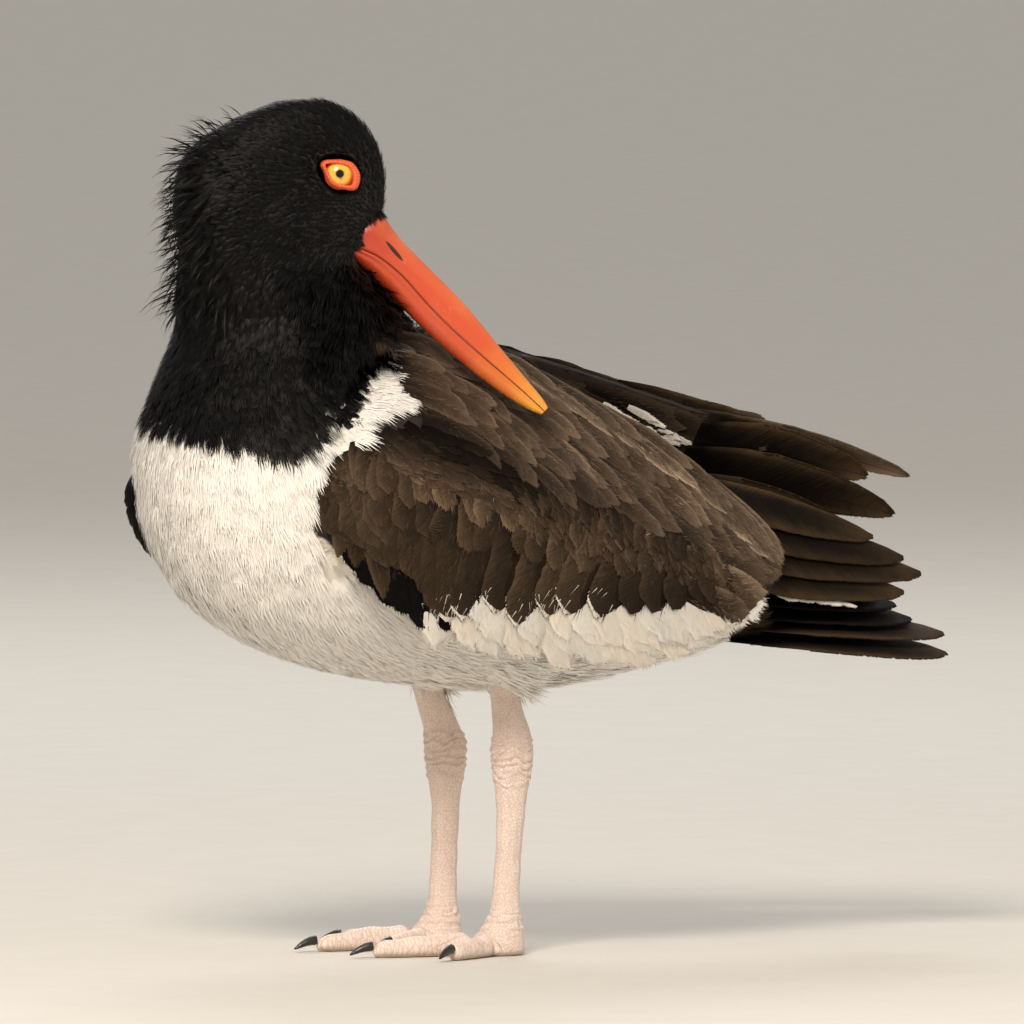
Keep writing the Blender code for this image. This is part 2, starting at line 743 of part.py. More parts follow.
def bill_room():
    # The bill's outline grown by the gap and carried back into the head, to cut its seat
    rows = [list(row) for row in bill_rows()]
    rows = [[-0.006, *rows[0][1:]], *rows]
    root, axis, rise = bill_frame()
    grow = GAP + 0.25
    rings = []
    for share, top, gape, bottom, half_width in rows:
        middle = root + axis * (share * BILL_LENGTH)
        ring = []
        for step in range(26):
            angle = 2 * math.pi * step / 26
            edge = top + grow if step <= 13 else bottom - grow
            reach = abs(math.sin(angle)) ** 0.75
            across = (half_width + grow) * math.cos(angle)
            ring.append(middle + HEAD_SIDE * across + rise * (gape + (edge - gape) * reach))
        rings.append(ring)
    return ring_solid(rings)


def build_flesh(finishes):
    flesh = whole_flesh()
    whole = add("flesh", flesh)
    for name, ribs in (("left", LEFT_WING_RIBS), ("right", RIGHT_WING_RIBS)):
        inner = WING_THICKNESS + WING_ROOM
        points, faces = wing_patch(ribs, (-0.03, 1.012), (-0.075, 1.05), WING_ROOM_OUTWARD, inner)
        subtract(whole, add(f"wing_room_{name}", mesh_from("wing_room", points, faces)))
    points, faces = bill_room()
    subtract(whole, add("bill_room", mesh_from("bill_room", points, faces)))
    for leg in (LEFT_LEG, RIGHT_LEG):
        stations = [(x, z, deep + GAP, wide + GAP) for x, z, deep, wide in leg["tibia"]]
        stations[0] = (stations[0][0], stations[0][1] + GAP, *stations[0][2:])
        points, faces = leg_piece(leg["side"], stations)
        subtract(whole, add("leg_room", mesh_from("leg_room", points, faces)))
    cut = evaluated_mesh(whole)
    bpy.data.objects.remove(whole)
    half = UP * (GAP / 2)
    slope = Vector((-NECK_PARTING_SLOPE, 0, 1)).normalized()
    above = in_head(PARTING_ACROSS, HEAD_NEAR, HEAD_PARTING_HEIGHT)
    below = in_head(PARTING_ACROSS, HEAD_NEAR, NECK_PARTING_HEIGHT)
    head = add("head", cut_mesh(cut, (above + half, UP)), finishes["black"])
    add("neck", cut_mesh(cut, (above - half, -UP), (below + half, slope)), finishes["black"])
    add("trunk", cut_mesh(cut, (below - half, -slope)), finishes["white"])
    return head


def move_to_origin():
    shift = Matrix.Translation(TO_ORIGIN * MM)
    moved = set()
    for item in bpy.data.objects:
        if item.data.name not in moved:
            item.data.transform(shift)
            moved.add(item.data.name)


def main():
    remove_everything()
    finishes = {
        "black": material("black_feathers", (0.012, 0.011, 0.010), 0.7),
        "white": material("white_feathers", (0.80, 0.77, 0.71), 0.8),
        "wing_white": material("wing_bar_feathers", (0.62, 0.58, 0.52), 0.8),
        "brown": material("brown_feathers", (0.060, 0.043, 0.030), 0.7),
        "bill": material("bill_horn", (0.80, 0.16, 0.04), 0.35),
        "lid": material("orange_lid", (0.78, 0.13, 0.04), 0.5),
        "eye": material("yellow_eye", (0.85, 0.45, 0.03), 0.1),
        "leg": material("scaly_leg", (0.72, 0.50, 0.38), 0.6),
        "claw": material("claw_horn", (0.015, 0.013, 0.013), 0.3),
    }
    head = build_flesh(finishes)
    build_head_details(head, finishes)
    build_wing("left", LEFT_WING_RIBS, LEFT_PRIMARIES, -1, finishes)
    build_wing("right", RIGHT_WING_RIBS, RIGHT_PRIMARIES, 1, finishes)
    build_tail(finishes)
    build_leg("left", LEFT_LEG, finishes)
    build_leg("right", RIGHT_LEG, finishes)
    move_to_origin()


main()
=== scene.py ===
import math
import random

import bmesh
import bpy
import numpy as np
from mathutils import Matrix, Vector, noise
from mathutils.bvhtree import BVHTree
from mathutils.kdtree import KDTree


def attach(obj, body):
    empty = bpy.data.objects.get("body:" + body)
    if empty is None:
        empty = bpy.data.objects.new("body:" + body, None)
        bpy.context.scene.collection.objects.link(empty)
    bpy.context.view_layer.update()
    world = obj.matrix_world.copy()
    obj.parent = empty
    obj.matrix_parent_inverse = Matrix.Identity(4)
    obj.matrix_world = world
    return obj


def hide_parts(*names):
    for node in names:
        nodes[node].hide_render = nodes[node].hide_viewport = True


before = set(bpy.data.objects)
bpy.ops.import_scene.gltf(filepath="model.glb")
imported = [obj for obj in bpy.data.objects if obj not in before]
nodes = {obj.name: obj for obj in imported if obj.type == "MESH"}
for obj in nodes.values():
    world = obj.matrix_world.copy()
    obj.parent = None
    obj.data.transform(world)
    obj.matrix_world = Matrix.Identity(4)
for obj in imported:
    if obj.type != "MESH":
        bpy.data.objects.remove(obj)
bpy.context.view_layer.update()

# Lengths below are millimetres from a point on the floor between the feet, as in the solids: -x is the way
# the breast faces, -y the bird's left side. toMetres puts them in the shared frame.
mm = 0.001
feetAt = Vector((-29.0, 0.0, 0.0))

bird = {
    "bodyTurn": math.radians(28),  # from the camera's picture plane to the body's length
    "headNear": 43.0,  # from the point between the feet to the middle of the head, towards the camera
}

headAcross = Vector((math.cos(bird["bodyTurn"]), -math.sin(bird["bodyTurn"]), 0))
headSide = Vector((-math.sin(bird["bodyTurn"]), -math.cos(bird["bodyTurn"]), 0))
up = Vector((0, 0, 1))


def inHead(across, near, height):  # a point by its place in the picture plane and its nearness to the camera
    return headAcross * across + headSide * near + up * height


def toMetres(points):
    return (np.asarray(points, float) + np.array(feetAt)) * mm


def toFeet(points):
    return np.asarray(points, float) / mm - np.array(feetAt)


def smoothStep(low, high, value):
    share = np.clip((np.asarray(value, float) - low) / (high - low), 0, 1)
    return share * share * (3 - 2 * share)


def smoothRows(rows, count):  # a Catmull-Rom curve through the rows, read at evenly spaced places
    rows = np.array(rows, float)
    place = np.linspace(0, len(rows) - 1, count)
    first = np.clip(place.astype(int), 0, len(rows) - 2)
    share = (place - first)[:, None]
    before = rows[np.maximum(first - 1, 0)]
    here = rows[first]
    after = rows[first + 1]
    beyond = rows[np.minimum(first + 2, len(rows) - 1)]
    return 0.5 * (
        2 * here
        + (after - before) * share
        + (2 * before - 5 * here + 4 * after - beyond) * share**2
        + (3 * here - before - 3 * after + beyond) * share**3
    )


# Node and material helpers


def linear(hexText):
    channels = [int(hexText[i : i + 2], 16) / 255 for i in (1, 3, 5)]
    return (*[c / 12.92 if c <= 0.04045 else ((c + 0.055) / 1.055) ** 2.4 for c in channels], 1.0)


def give(tree, socket, value):  # links the socket to another one, or sets its value or its hex colour
    if isinstance(value, bpy.types.NodeSocket):
        tree.links.new(value, socket)
    elif isinstance(value, str) and value.startswith("#"):
        socket.default_value = linear(value)
    else:
        socket.default_value = value


def addNode(tree, kind, settings=None, links=None):
    node = tree.nodes.new(kind)
    for name, value in (settings or {}).items():
        setattr(node, name, value)
    for name, value in (links or {}).items():
        give(tree, node.inputs[name], value)
    return node


def newMaterial(name, roughness, **shaderValues):
    material = bpy.data.materials.new(name)
    material.use_nodes = True
    tree = material.node_tree
    shader = tree.nodes["Principled BSDF"]
    shader.inputs["Roughness"].default_value = roughness
    for socket, value in shaderValues.items():
        shader.inputs[socket.replace("_", " ")].default_value = value
    return material, tree, shader


def readAttribute(tree, name, output="Fac"):
    return addNode(tree, "ShaderNodeAttribute", {"attribute_name": name}).outputs[output]


def readUv(tree, name):
    return addNode(tree, "ShaderNodeUVMap", {"uv_map": name}).outputs[0]


def mixColour(tree, factor, first, second, blend="MIX"):
    node = addNode(tree, "ShaderNodeMix", {"data_type": "RGBA", "blend_type": blend})
    for socket, value in ((node.inputs[0], factor), (node.inputs[6], first), (node.inputs[7], second)):
        give(tree, socket, value)
    return node.outputs[2]


def shaded(tree, colour, shade):  # the colour times a grey of this value
    grey = addNode(tree, "ShaderNodeCombineColor", links={"Red": shade, "Green": shade, "Blue": shade})
    return mixColour(tree, 1.0, colour, grey.outputs[0], "MULTIPLY")


def mathNode(tree, operation, *values, clamp=False):
    links = {i: value for i, value in enumerate(values)}
    return addNode(tree, "ShaderNodeMath", {"operation": operation, "use_clamp": clamp}, links).outputs[0]


def plus(tree, first, second, clamp=False):
    return mathNode(tree, "ADD", first, second, clamp=clamp)


def minus(tree, first, second):
    return mathNode(tree, "SUBTRACT", first, second)


def times(tree, first, second, clamp=False):
    return mathNode(tree, "MULTIPLY", first, second, clamp=clamp)


def scaled(tree, value, factor, added, clamp=False):
    return mathNode(tree, "MULTIPLY_ADD", value, factor, added, clamp=clamp)


def rampNode(tree, factor, stops):
    node = addNode(tree, "ShaderNodeValToRGB", links={"Fac": factor})
    elements = node.color_ramp.elements
    while len(elements) > 1:
        elements.remove(elements[0])
    for number, (place, hexText) in enumerate(stops):
        element = elements[0] if number == 0 else elements.new(place)
        element.position = place
        element.color = linear(hexText)
    return node.outputs["Color"]


def addBump(tree, shader, height, distance, strength=1.0):
    values = {"Height": height, "Distance": distance, "Strength": strength}
    bump = addNode(tree, "ShaderNodeBump", links=values)
    tree.links.new(bump.outputs["Normal"], shader.inputs["Normal"])


def objectCoordinates(tree):
    return addNode(tree, "ShaderNodeTexCoord").outputs["Object"]


def noiseNode(tree, vector, scale, detail=4.0, roughness=0.55, stretch=None):  # cloudy values from 0 to 1
    if stretch:
        vector = addNode(tree, "ShaderNodeMapping", links={"Vector": vector, "Scale": stretch}).outputs[0]
    links = {"Vector": vector, "Scale": scale, "Detail": detail, "Roughness": roughness}
    return addNode(tree, "ShaderNodeTexNoise", links=links).outputs["Fac"]


# Mesh helpers


def paint(made, material):  # gives the whole piece one material
    made.data.materials.clear()
    made.data.materials.append(material)


def newObject(name, mesh, material=None):
    made = bpy.data.objects.new(name, mesh)
    bpy.context.scene.collection.objects.link(made)
    if material:
        paint(made, material)
    mesh.shade_smooth()
    return made


def meshFromArrays(name, points, faces):
    mesh = bpy.data.meshes.new(name)
    mesh.from_pydata(np.asarray(points).tolist(), [], [list(map(int, face)) for face in faces])
    mesh.update()
    return mesh


def gridFaces(rows, columns, closed=True, start=0):
    faces = []
    for i in range(rows - 1):
        for j in range(columns if closed else columns - 1):
            a = start + i * columns + j
            b = start + i * columns + (j + 1) % columns
            faces.append((a, b, b + columns, a + columns))
    return faces


def tubeMesh(name, rings):  # rings of equal length in millimetres, with a fan at each end
    rings = np.array(rings, float)
    count, sides = rings.shape[:2]
    points = np.concatenate([rings.reshape(-1, 3), [rings[0].mean(0)], [rings[-1].mean(0)]])
    faces = gridFaces(count, sides)
    last = (count - 1) * sides
    for side in range(sides):
        follow = (side + 1) % sides
        faces.append((count * sides, follow, side))
        faces.append((count * sides + 1, last + side, last + follow))
    mesh = meshFromArrays(name, toMetres(points), faces)
    outwards(mesh)
    return mesh


def outwards(mesh):  # turns the faces so that all look out of the closed form
    shell = bmesh.new()
    shell.from_mesh(mesh)
    bmesh.ops.recalc_face_normals(shell, faces=shell.faces)
    shell.to_mesh(mesh)
    shell.free()


def pointArray(mesh):
    found = np.empty(len(mesh.vertices) * 3)
    mesh.vertices.foreach_get("co", found)
    return found.reshape(-1, 3)


def normalArray(mesh):
    found = np.empty(len(mesh.vertices) * 3)
    mesh.vertex_normals.foreach_get("vector", found)
    return found.reshape(-1, 3)


def cornerPoints(mesh):  # the number of the point at each corner of the faces
    found = np.empty(len(mesh.loops), int)
    mesh.loops.foreach_get("vertex_index", found)
    return found


def setPoints(mesh, points):
    mesh.vertices.foreach_set("co", np.asarray(points, float).ravel())
    mesh.update()


def setAttribute(mesh, name, values, kind="FLOAT", domain="POINT"):
    attribute = mesh.attributes.new(name, kind, domain)
    field = "vector" if kind in ("FLOAT_VECTOR", "FLOAT2") else "value"
    attribute.data.foreach_set(field, np.asarray(values, float).ravel())


def evaluated(made):  # gives the piece the mesh that its modifiers make
    graph = bpy.context.evaluated_depsgraph_get()
    mesh = bpy.data.meshes.new_from_object(made.evaluated_get(graph))
    made.modifiers.clear()
    made.data = mesh
    return made


def mergedCopy(name, names):  # one mesh of the CAD solids of these nodes, its loose triangles joined
    shell = bmesh.new()
    for node in names:
        shell.from_mesh(nodes[node].data)
    bmesh.ops.remove_doubles(shell, verts=shell.verts, dist=1e-6)
    mesh = bpy.data.meshes.new(name)
    shell.to_mesh(mesh)
    shell.free()
    return mesh


def surfaceTree(names):
    mesh = mergedCopy("lookup", names)
    tree = BVHTree.FromPolygons([v.co for v in mesh.vertices], [p.vertices for p in mesh.polygons])
    bpy.data.meshes.remove(mesh)
    return tree


def triangleCount(mesh):
    return sum(len(face.vertices) - 2 for face in mesh.polygons)


# Folded wings

# The outer surface of the folded wings, as in the solids: ribs from the back down to the lower edge, each
# with its top point, the sideways place of its middle, and its bottom point. A place on a wing is a share
# along it, from the bend back, and a share down its rib.

wingRibs = {
    "left": (
        ((-60, -27, 203), -41, (-85, -46, 153)),
        ((-44, -17, 213), -49, (-77.5, -50, 137)),
        ((-24, -14, 214), -54, (-61.5, -53.5, 122.5)),
        ((0, -15, 208), -56, (-40, -56, 111.5)),
        ((22, -17, 197), -56, (-16, -57, 107)),
        ((43, -19, 185), -53, (8, -56, 105)),
        ((62, -21, 173.5), -49, (34, -53.5, 104)),
        ((79, -23, 161.5), -44, (58, -49, 106)),
        ((94, -26, 147.5), -39, (79, -44, 111.5)),
        ((105, -30, 133), -35, (98, -38.5, 121)),
    ),
    "right": (
        ((-64, 28, 203), 42, (-102, 45, 155)),
        ((-46, 17, 213), 49, (-93, 49, 139)),
        ((-26, 15, 214.5), 54, (-74, 53, 124)),
        ((0, 18, 211), 56, (-47, 56, 113)),
        ((24, 21, 206.5), 55.5, (-19, 57, 109)),
        ((46, 21.5, 200.5), 52, (8, 55.5, 110)),
        ((68, 19.5, 193.5), 46, (35, 52, 115)),
        ((90, 16, 186), 38, (62, 47, 123)),
        ((109, 11, 179), 29, (87, 40, 134)),
        ((124, 7, 174), 21, (110, 31, 147)),
    ),
}
wingRows = {
    side: smoothRows([(*top, middle, *bottom) for top, middle, bottom in ribs], 240)
    for side, ribs in wingRibs.items()
}


def onWing(side, along, down):
    along, down = np.broadcast_arrays(np.asarray(along, float), np.asarray(down, float))
    rows = wingRows[side]
    exact = along * (len(rows) - 1)
    low = np.clip(np.floor(exact).astype(int), 0, len(rows) - 2)

    def onRib(rib):
        point = rib[..., 0:3] + (rib[..., 4:7] - rib[..., 0:3]) * down[..., None]
        bulge = rib[..., 3] - (rib[..., 1] + rib[..., 5]) / 2
        point[..., 1] += bulge * 4 * down * (1 - down)
        return point

    here = onRib(rows[low])
    return here + (onRib(rows[low + 1]) - here) * (exact - low)[..., None]


def unit(vectors):
    return vectors / np.maximum(np.linalg.norm(vectors, axis=-1, keepdims=True), 1e-9)


def wingAxes(side, along, down):  # tangents along and down the wing, and the outward normal
    alongAxis = unit(onWing(side, along + 0.01, down) - onWing(side, along - 0.01, down))
    downAxis = unit(onWing(side, along, down + 0.01) - onWing(side, along, down - 0.01))
    normal = unit(np.cross(alongAxis, downAxis))
    return alongAxis, downAxis, -normal if side == "left" else normal


# The skin under the coat, with the markings and the lie that its tufts take

skinSizes = {
    "voxel": 1.5,  # cell of the grid that joins the solids into one skin, in mm
    "smoothing": 18,
    "swell": 0.8,  # closes the thin cuts between the solids
    # how deep the skin lies under the solids' surface, which the coat then fills
    "headDepth": 1.2,
    "neckDepth": 1.9,
    "trunkDepth": 1.8,
    "wingDepth": 1.6,
    "eyeShare": 0.84,  # share of the eye ring's outline within which no tufts grow
}

markings = {
    # height of the lower edge of the black bib, by the angle round the breast (far side positive)
    "bib": (
        (-120, 204), (-90, 204), (-82, 195), (-76, 193), (-69, 188), (-64, 181), (-58, 176), (-48, 174),
        (-30, 179), (0, 182), (28, 187), (60, 189), (76, 195), (90, 207), (120, 207),
    ),
    "mantleHeight": 214.0,  # the back is brown below it, and black above it
    "rumpFrom": 74.0,  # the white of the rump begins this far back
    # the white wedge before each wing, as places on the wing: share along, share down
    "wedge": (
        (0.06, 0.13), (0.09, 0.12), (0.12, 0.14), (0.135, 0.21), (0.18, 0.30), (0.13, 0.31), (0.09, 0.355),
        (0.055, 0.43), (0.038, 0.55), (0.03, 0.67), (0.01, 0.82), (-0.12, 0.88), (-0.12, 0.42), (0.015, 0.39),
        (0.04, 0.25),
    ),
}

sides = ("left", "right")
wingParts = ("scapulars", "coverts", "secondaries", "tertials")
wingNodes = [f"{part}_{side}" for part in wingParts for side in sides]
fleshNodes = ["head", "neck", "trunk"]


def remeshed(name, names, voxel, swell, smoothing):  # one smooth closed skin round these nodes' solids
    mesh = mergedCopy(name, names)
    setPoints(mesh, pointArray(mesh) + normalArray(mesh) * swell * mm)
    made = newObject(name, mesh)
    cast = made.modifiers.new("one skin", "REMESH")
    cast.mode = "VOXEL"
    cast.voxel_size = voxel * mm
    even = made.modifiers.new("even", "SMOOTH")
    even.factor = 0.5
    even.iterations = smoothing
    return evaluated(made)


def wrinkle(points, scale, seed):  # smooth noise from -1 to 1 at each point
    shift = Vector((seed * 7.3, seed * 3.1, seed * 5.7))
    return np.array([noise.noise(Vector(p) * scale + shift) for p in points])


def insideOutline(x, y, outline):  # which of the points lie within the outline
    inside = np.zeros(len(x), bool)
    for (ax, ay), (bx, by) in zip(outline, outline[1:] + outline[:1]):
        crosses = (ay > y) != (by > y)
        level = ax + (y - ay) * (bx - ax) / ((by - ay) or 1e-9)
        inside ^= crosses & (x < level)
    return inside


def wingPlaces(points, side):  # for each point its nearest place on the wing, and its distance out of it
    stepsAlong, stepsDown = np.linspace(-0.02, 1.02, 105), np.linspace(-0.04, 1.04, 109)
    along, down = np.meshgrid(stepsAlong, stepsDown, indexing="ij")
    sheet = onWing(side, along, down).reshape(-1, 3)
    tree = KDTree(len(sheet))
    for number, point in enumerate(sheet):
        tree.insert(point, number)
    tree.balance()
    found = [tree.find(p) for p in points]
    index = np.array([row[1] for row in found])
    along, down = along.ravel()[index], down.ravel()[index]
    normal = wingAxes(side, along, down)[2]
    out = ((points - sheet[index]) * normal).sum(1)
    across = np.linalg.norm(points - sheet[index] - normal * out[:, None], axis=1)
    return along, down, out, across


def wingLie(along, down):  # angle of a wing's small feathers, from the wing's length towards its lower edge
    angle = 24 + 54 * smoothStep(0.22, 0.45, along) - 42 * smoothStep(0.6, 0.95, along)
    scapular = 16 + 6 * smoothStep(0.4, 0.1, along)
    share = smoothStep(0.30, 0.40, down)
    return np.radians(scapular + (angle - scapular) * share)


def skinFlow(points):  # which way the tufts lie on the head, the neck and the body
    x, _, z = points.T
    downward = np.array((0, 0, -1.0))
    backward = np.array((1.0, 0, 0))
    napeward = np.array(-headAcross)
    bodyFlow = (smoothStep(-110, -20, x) + 0.25)[:, None] * backward
    bodyFlow = bodyFlow + (1 - smoothStep(-90, 30, x))[:, None] * downward
    faceAway = unit(points - np.array(inHead(-33, bird["headNear"], 244)))
    sinking = (0.25 + smoothStep(-70, -95, x + 20))[:, None]
    headFlow = faceAway * 1.1 + napeward * 0.25 + downward * sinking
    neckFlow = downward + napeward * 0.25
    toNeck = smoothStep(252, 222, z)[:, None]
    flow = headFlow * (1 - toNeck) + neckFlow * toNeck
    toBody = smoothStep(212, 182, z)[:, None]
    return flow * (1 - toBody) + bodyFlow * toBody


def tuftLengths(points, nape):  # short on the face, longer down the neck and longest on the belly
    x, _, z = points.T
    fromBill = np.linalg.norm(points - np.array(inHead(-36, bird["headNear"], 244)), axis=1)
    length = 2.6 + 1.9 * smoothStep(8, 40, fromBill) + 2.5 * nape
    length = length + 2.6 * smoothStep(240, 215, z) + 3.5 * smoothStep(195, 170, z)
    length = length + 3.0 * smoothStep(150, 125, z) * smoothStep(-40, 20, x)
    length = length + 2.5 * smoothStep(40, 60, x) * smoothStep(118, 108, z)
    return length * (1 - 0.55 * smoothStep(72, 88, x))


def mapSkin(mesh):
    points = toFeet(pointArray(mesh))
    normals = normalArray(mesh)
    x, y, z = points.T
    rough = wrinkle(points, 0.09, 1) * 2.2 + wrinkle(points, 0.35, 2) * 1.6
    turn = np.degrees(np.arctan2(y, -(x + 60)))
    bib = np.interp(turn, *zip(*markings["bib"]))
    turn = np.abs(turn)
    # the white of breast, belly and rump, with the brown of the back between them
    white = np.where(turn < 100, z + rough < bib, x > markings["rumpFrom"] + rough * 1.5)
    white = np.where((turn >= 100) & (normals[:, 2] < 0.35) & (z < 190), 1.0, white)
    # painted shade: between the wings' rear ends and the tail the white of flank and rump is left out, so
    # skin and tufts there are dark
    shadedBehindWing = (x > 80) & (z > 103) & (np.abs(y) > 11) & (z < 150)
    white = np.where(shadedBehindWing, 0.0, white)
    brown = ((turn >= 97) & (z + rough < markings["mantleHeight"]) & (white < 0.5)).astype(float)
    flow = skinFlow(points)
    cover = np.ones(len(points))
    for side in sides:
        along, down, out, across = wingPlaces(points, side)
        alongAxis, downAxis, outAxis = wingAxes(side, along, down)
        outer = (normals * outAxis).sum(1) > 0.3
        plate = (across < 1.5) & (np.abs(out + 1.0) < 2.6) & outer
        wedge = plate & insideOutline(along + rough * 0.004, down + rough * 0.004, markings["wedge"])
        wedge &= (side == "left") | (down > 0.24)
        collar = plate & ~wedge & (along < 0.13) & (down < np.where(along < 0.055, 0.45, 0.19))
        feathers = plate & ~wedge & ~collar
        angle = wingLie(along, down)[:, None]
        wingFlow = alongAxis * np.cos(angle) + downAxis * np.sin(angle)
        flow = np.where((plate & ~collar)[:, None], wingFlow, flow)
        white = np.where(feathers, (down > 0.9) & (along > 0.3), white)
        white = np.where(wedge, 1.0, np.where(collar, 0.0, white))
        brown = np.where(feathers & (white < 0.5), 1.0, np.where(collar | wedge, 0.0, brown))
        cover = np.where(feathers, 0.0, cover)
        # rims and inner faces of the wings
        rim = ~plate & (across < 4.5) & (out > -8.0) & (out < 2.0) & ~wedge & (along > 0.04)
        rim &= (down > 0.5) | (z > 150) | (along > 0.8)
        brown = np.where(rim, 1.0, brown)
        white = np.where(rim & (down < 0.9), 0.0, white)
        cover = np.where(rim & ((down > 0.86) | (along > 0.5)), 0.0, cover)
        besides = ~plate & (along > 0.6) & (across < 6) & (out > -16) & (z > 116)
        cover = np.where(besides, 0.0, cover)

    for side in (1, -1):
        middle, acrossEye, heightEye, look = (np.array(v) for v in eyeAxes(side))
        eyeX, eyeY = ((points - middle) @ axis / skinSizes["eyeShare"] for axis in (acrossEye, heightEye))
        inEye = insideOutline(eyeX, eyeY, eye["outer"]) & (np.abs((points - middle) @ look) < 6)
        cover = np.where(inEye, 0.0, cover)
    flow = unit(flow - normals * (flow * normals).sum(1)[:, None] + 1e-4)
    nape = smoothStep(-72, -88, x * headAcross[0] + y * headAcross[1]) * smoothStep(215, 228, z)
    length = tuftLengths(points, nape)
    for name, values in (("white", white), ("brown", brown), ("length", length), ("nape", nape)):
        setAttribute(mesh, name, values)
    setAttribute(mesh, "flow", flow, "FLOAT_VECTOR")
    return {
        "points": points,
        "near": points @ np.array(headSide) > bird["headNear"],
        "cover": cover,
        "white": np.asarray(white, float),
        "length": length,
        "nape": nape,
        "turn": turn,
    }


def unwrapped(made):  # lays the piece's faces out flat for its baked textures
    bpy.context.view_layer.objects.active = made
    for other in bpy.context.selected_objects:
        other.select_set(False)
    made.select_set(True)
    bpy.ops.object.mode_set(mode="EDIT")
    bpy.ops.mesh.select_all(action="SELECT")
    bpy.ops.uv.smart_project(angle_limit=math.radians(66), island_margin=0.01)
    bpy.ops.object.mode_set(mode="OBJECT")
    made.data.uv_layers.active.name = "OFBake"


def buildSkin():
    sizes = skinSizes
    body = remeshed("skin", fleshNodes + wingNodes, sizes["voxel"], sizes["swell"], sizes["smoothing"])
    height = toFeet(pointArray(body.data))[:, 2]
    wingTree = surfaceTree(wingNodes)
    fromWing = [wingTree.find_nearest(Vector(point))[3] or 1 for point in pointArray(body.data)]
    nearWing = np.array(fromWing) < 2.2 * mm
    depth = np.where(height > 222, sizes["headDepth"], sizes["neckDepth"])
    depth = depth + smoothStep(200, 170, height) * (sizes["trunkDepth"] - sizes["neckDepth"])
    depth = np.where(nearWing, sizes["wingDepth"], depth) + sizes["swell"]
    setPoints(body.data, pointArray(body.data) - normalArray(body.data) * depth[:, None] * mm)
    unwrapped(body)
    return body, mapSkin(body.data)


# Camera, floor and lights

camera = {
    "distance": 8.0,  # in metres, with the width of what it sees there
    "frameWidth": 0.347,
    "elevation": 3.0,
    "across": 13.9,  # place in the picture plane that it looks at, in mm
    "height": 149.2,
}
studio = {
    "floorSize": 60,
    "floor": ("#DAD6CE", "#D2CDC4"),
    "sky": "#EFECE8",
    "skyStrength": 0.62,
    "aim": (0, 0, 0.14),
    # place in metres, size, power and colour
    "lamps": {
        "key": ((-1.1, -1.3, 1.5), 0.6, 42, "#FFF3E4"),
        "fill": ((1.5, -1.6, 0.6), 1.4, 4, "#F4F1EC"),
        "rim": ((0.7, 1.7, 1.6), 0.8, 14, "#FFFFFF"),
    },
}


def makeCamera():
    lift = math.radians(camera["elevation"])
    aim = Vector(toMetres(headAcross * camera["across"] + up * camera["height"]))
    back = (headSide * math.cos(lift) + up * math.sin(lift)).normalized()
    data = bpy.data.cameras.new("camera")
    data.sensor_width = 36
    data.lens = data.sensor_width * camera["distance"] / camera["frameWidth"]
    data.clip_end = 100
    made = bpy.data.objects.new("camera", data)
    bpy.context.scene.collection.objects.link(made)
    made.location = aim + back * camera["distance"]
    made.rotation_euler = back.to_track_quat("Z", "Y").to_euler()
    bpy.context.scene.camera = made


def makeStudio():
    material, tree, shader = newMaterial("mattePaper", 0.85)
    grain = noiseNode(tree, objectCoordinates(tree), 40.0)
    tree.links.new(mixColour(tree, grain, *studio["floor"]), shader.inputs["Base Color"])
    bpy.ops.mesh.primitive_plane_add(size=studio["floorSize"])
    floor = bpy.context.object
    floor.name = "floor"
    floor.data.materials.append(material)
    world = bpy.data.worlds.new("studio")
    world.use_nodes = True
    background = world.node_tree.nodes["Background"]
    background.inputs[0].default_value = linear(studio["sky"])
    background.inputs[1].default_value = studio["skyStrength"]
    bpy.context.scene.world = world
    for name, (place, size, power, colour) in studio["lamps"].items():
        data = bpy.data.lights.new(name, "AREA")
        data.size = size
        data.energy = power
        data.color = linear(colour)[:3]
        lamp = bpy.data.objects.new(name, data)
        bpy.context.scene.collection.objects.link(lamp)
        lamp.location = place
        lamp.rotation_euler = (Vector(place) - Vector(studio["aim"])).to_track_quat("Z", "Y").to_euler()
    bpy.context.scene.view_settings.view_transform = "Standard"


# Bill

bill = {
    "root": (-35.2, 244.2),
    "drop": math.radians(44.1),
    "length": 84.0,
    "segments": 110,  # slices along it, and steps round each half
    "around": 40,
    "seamGap": 0.12,  # half the gap between the two halves
    "nostril": (5.2, 14.8, 3.8, 0.72),  # begins, ends, height above the axis, half width
    "hidden": 6.0,  # length of the root inside the face
    # share of the length, top, gape line, bottom, half width
    "stations": (
        (0.00, 9.2, -4.6, -9.1, 6.2),
        (0.09, 7.8, -1.8, -8.4, 5.9),
        (0.21, 7.4, -0.9, -8.6, 5.3),
        (0.34, 7.2, -1.7, -8.9, 4.7),
        (0.46, 6.9, -2.1, -8.8, 4.2),
        (0.58, 5.9, -1.9, -8.3, 3.7),
        (0.70, 4.6, -1.4, -7.5, 3.2),
        (0.82, 3.5, -0.8, -6.1, 2.6),
        (0.90, 2.8, -0.5, -4.8, 2.2),
        (0.96, 2.2, -0.4, -3.4, 1.8),
        (1.00, 1.3, -0.4, -2.0, 1.3),
    ),
}


def billAxes():
    axis = headAcross * math.cos(bill["drop"]) - up * math.sin(bill["drop"])
    rise = headAcross * math.sin(bill["drop"]) + up * math.cos(bill["drop"])
    return inHead(bill["root"][0], bird["headNear"], bill["root"][1]), axis, rise


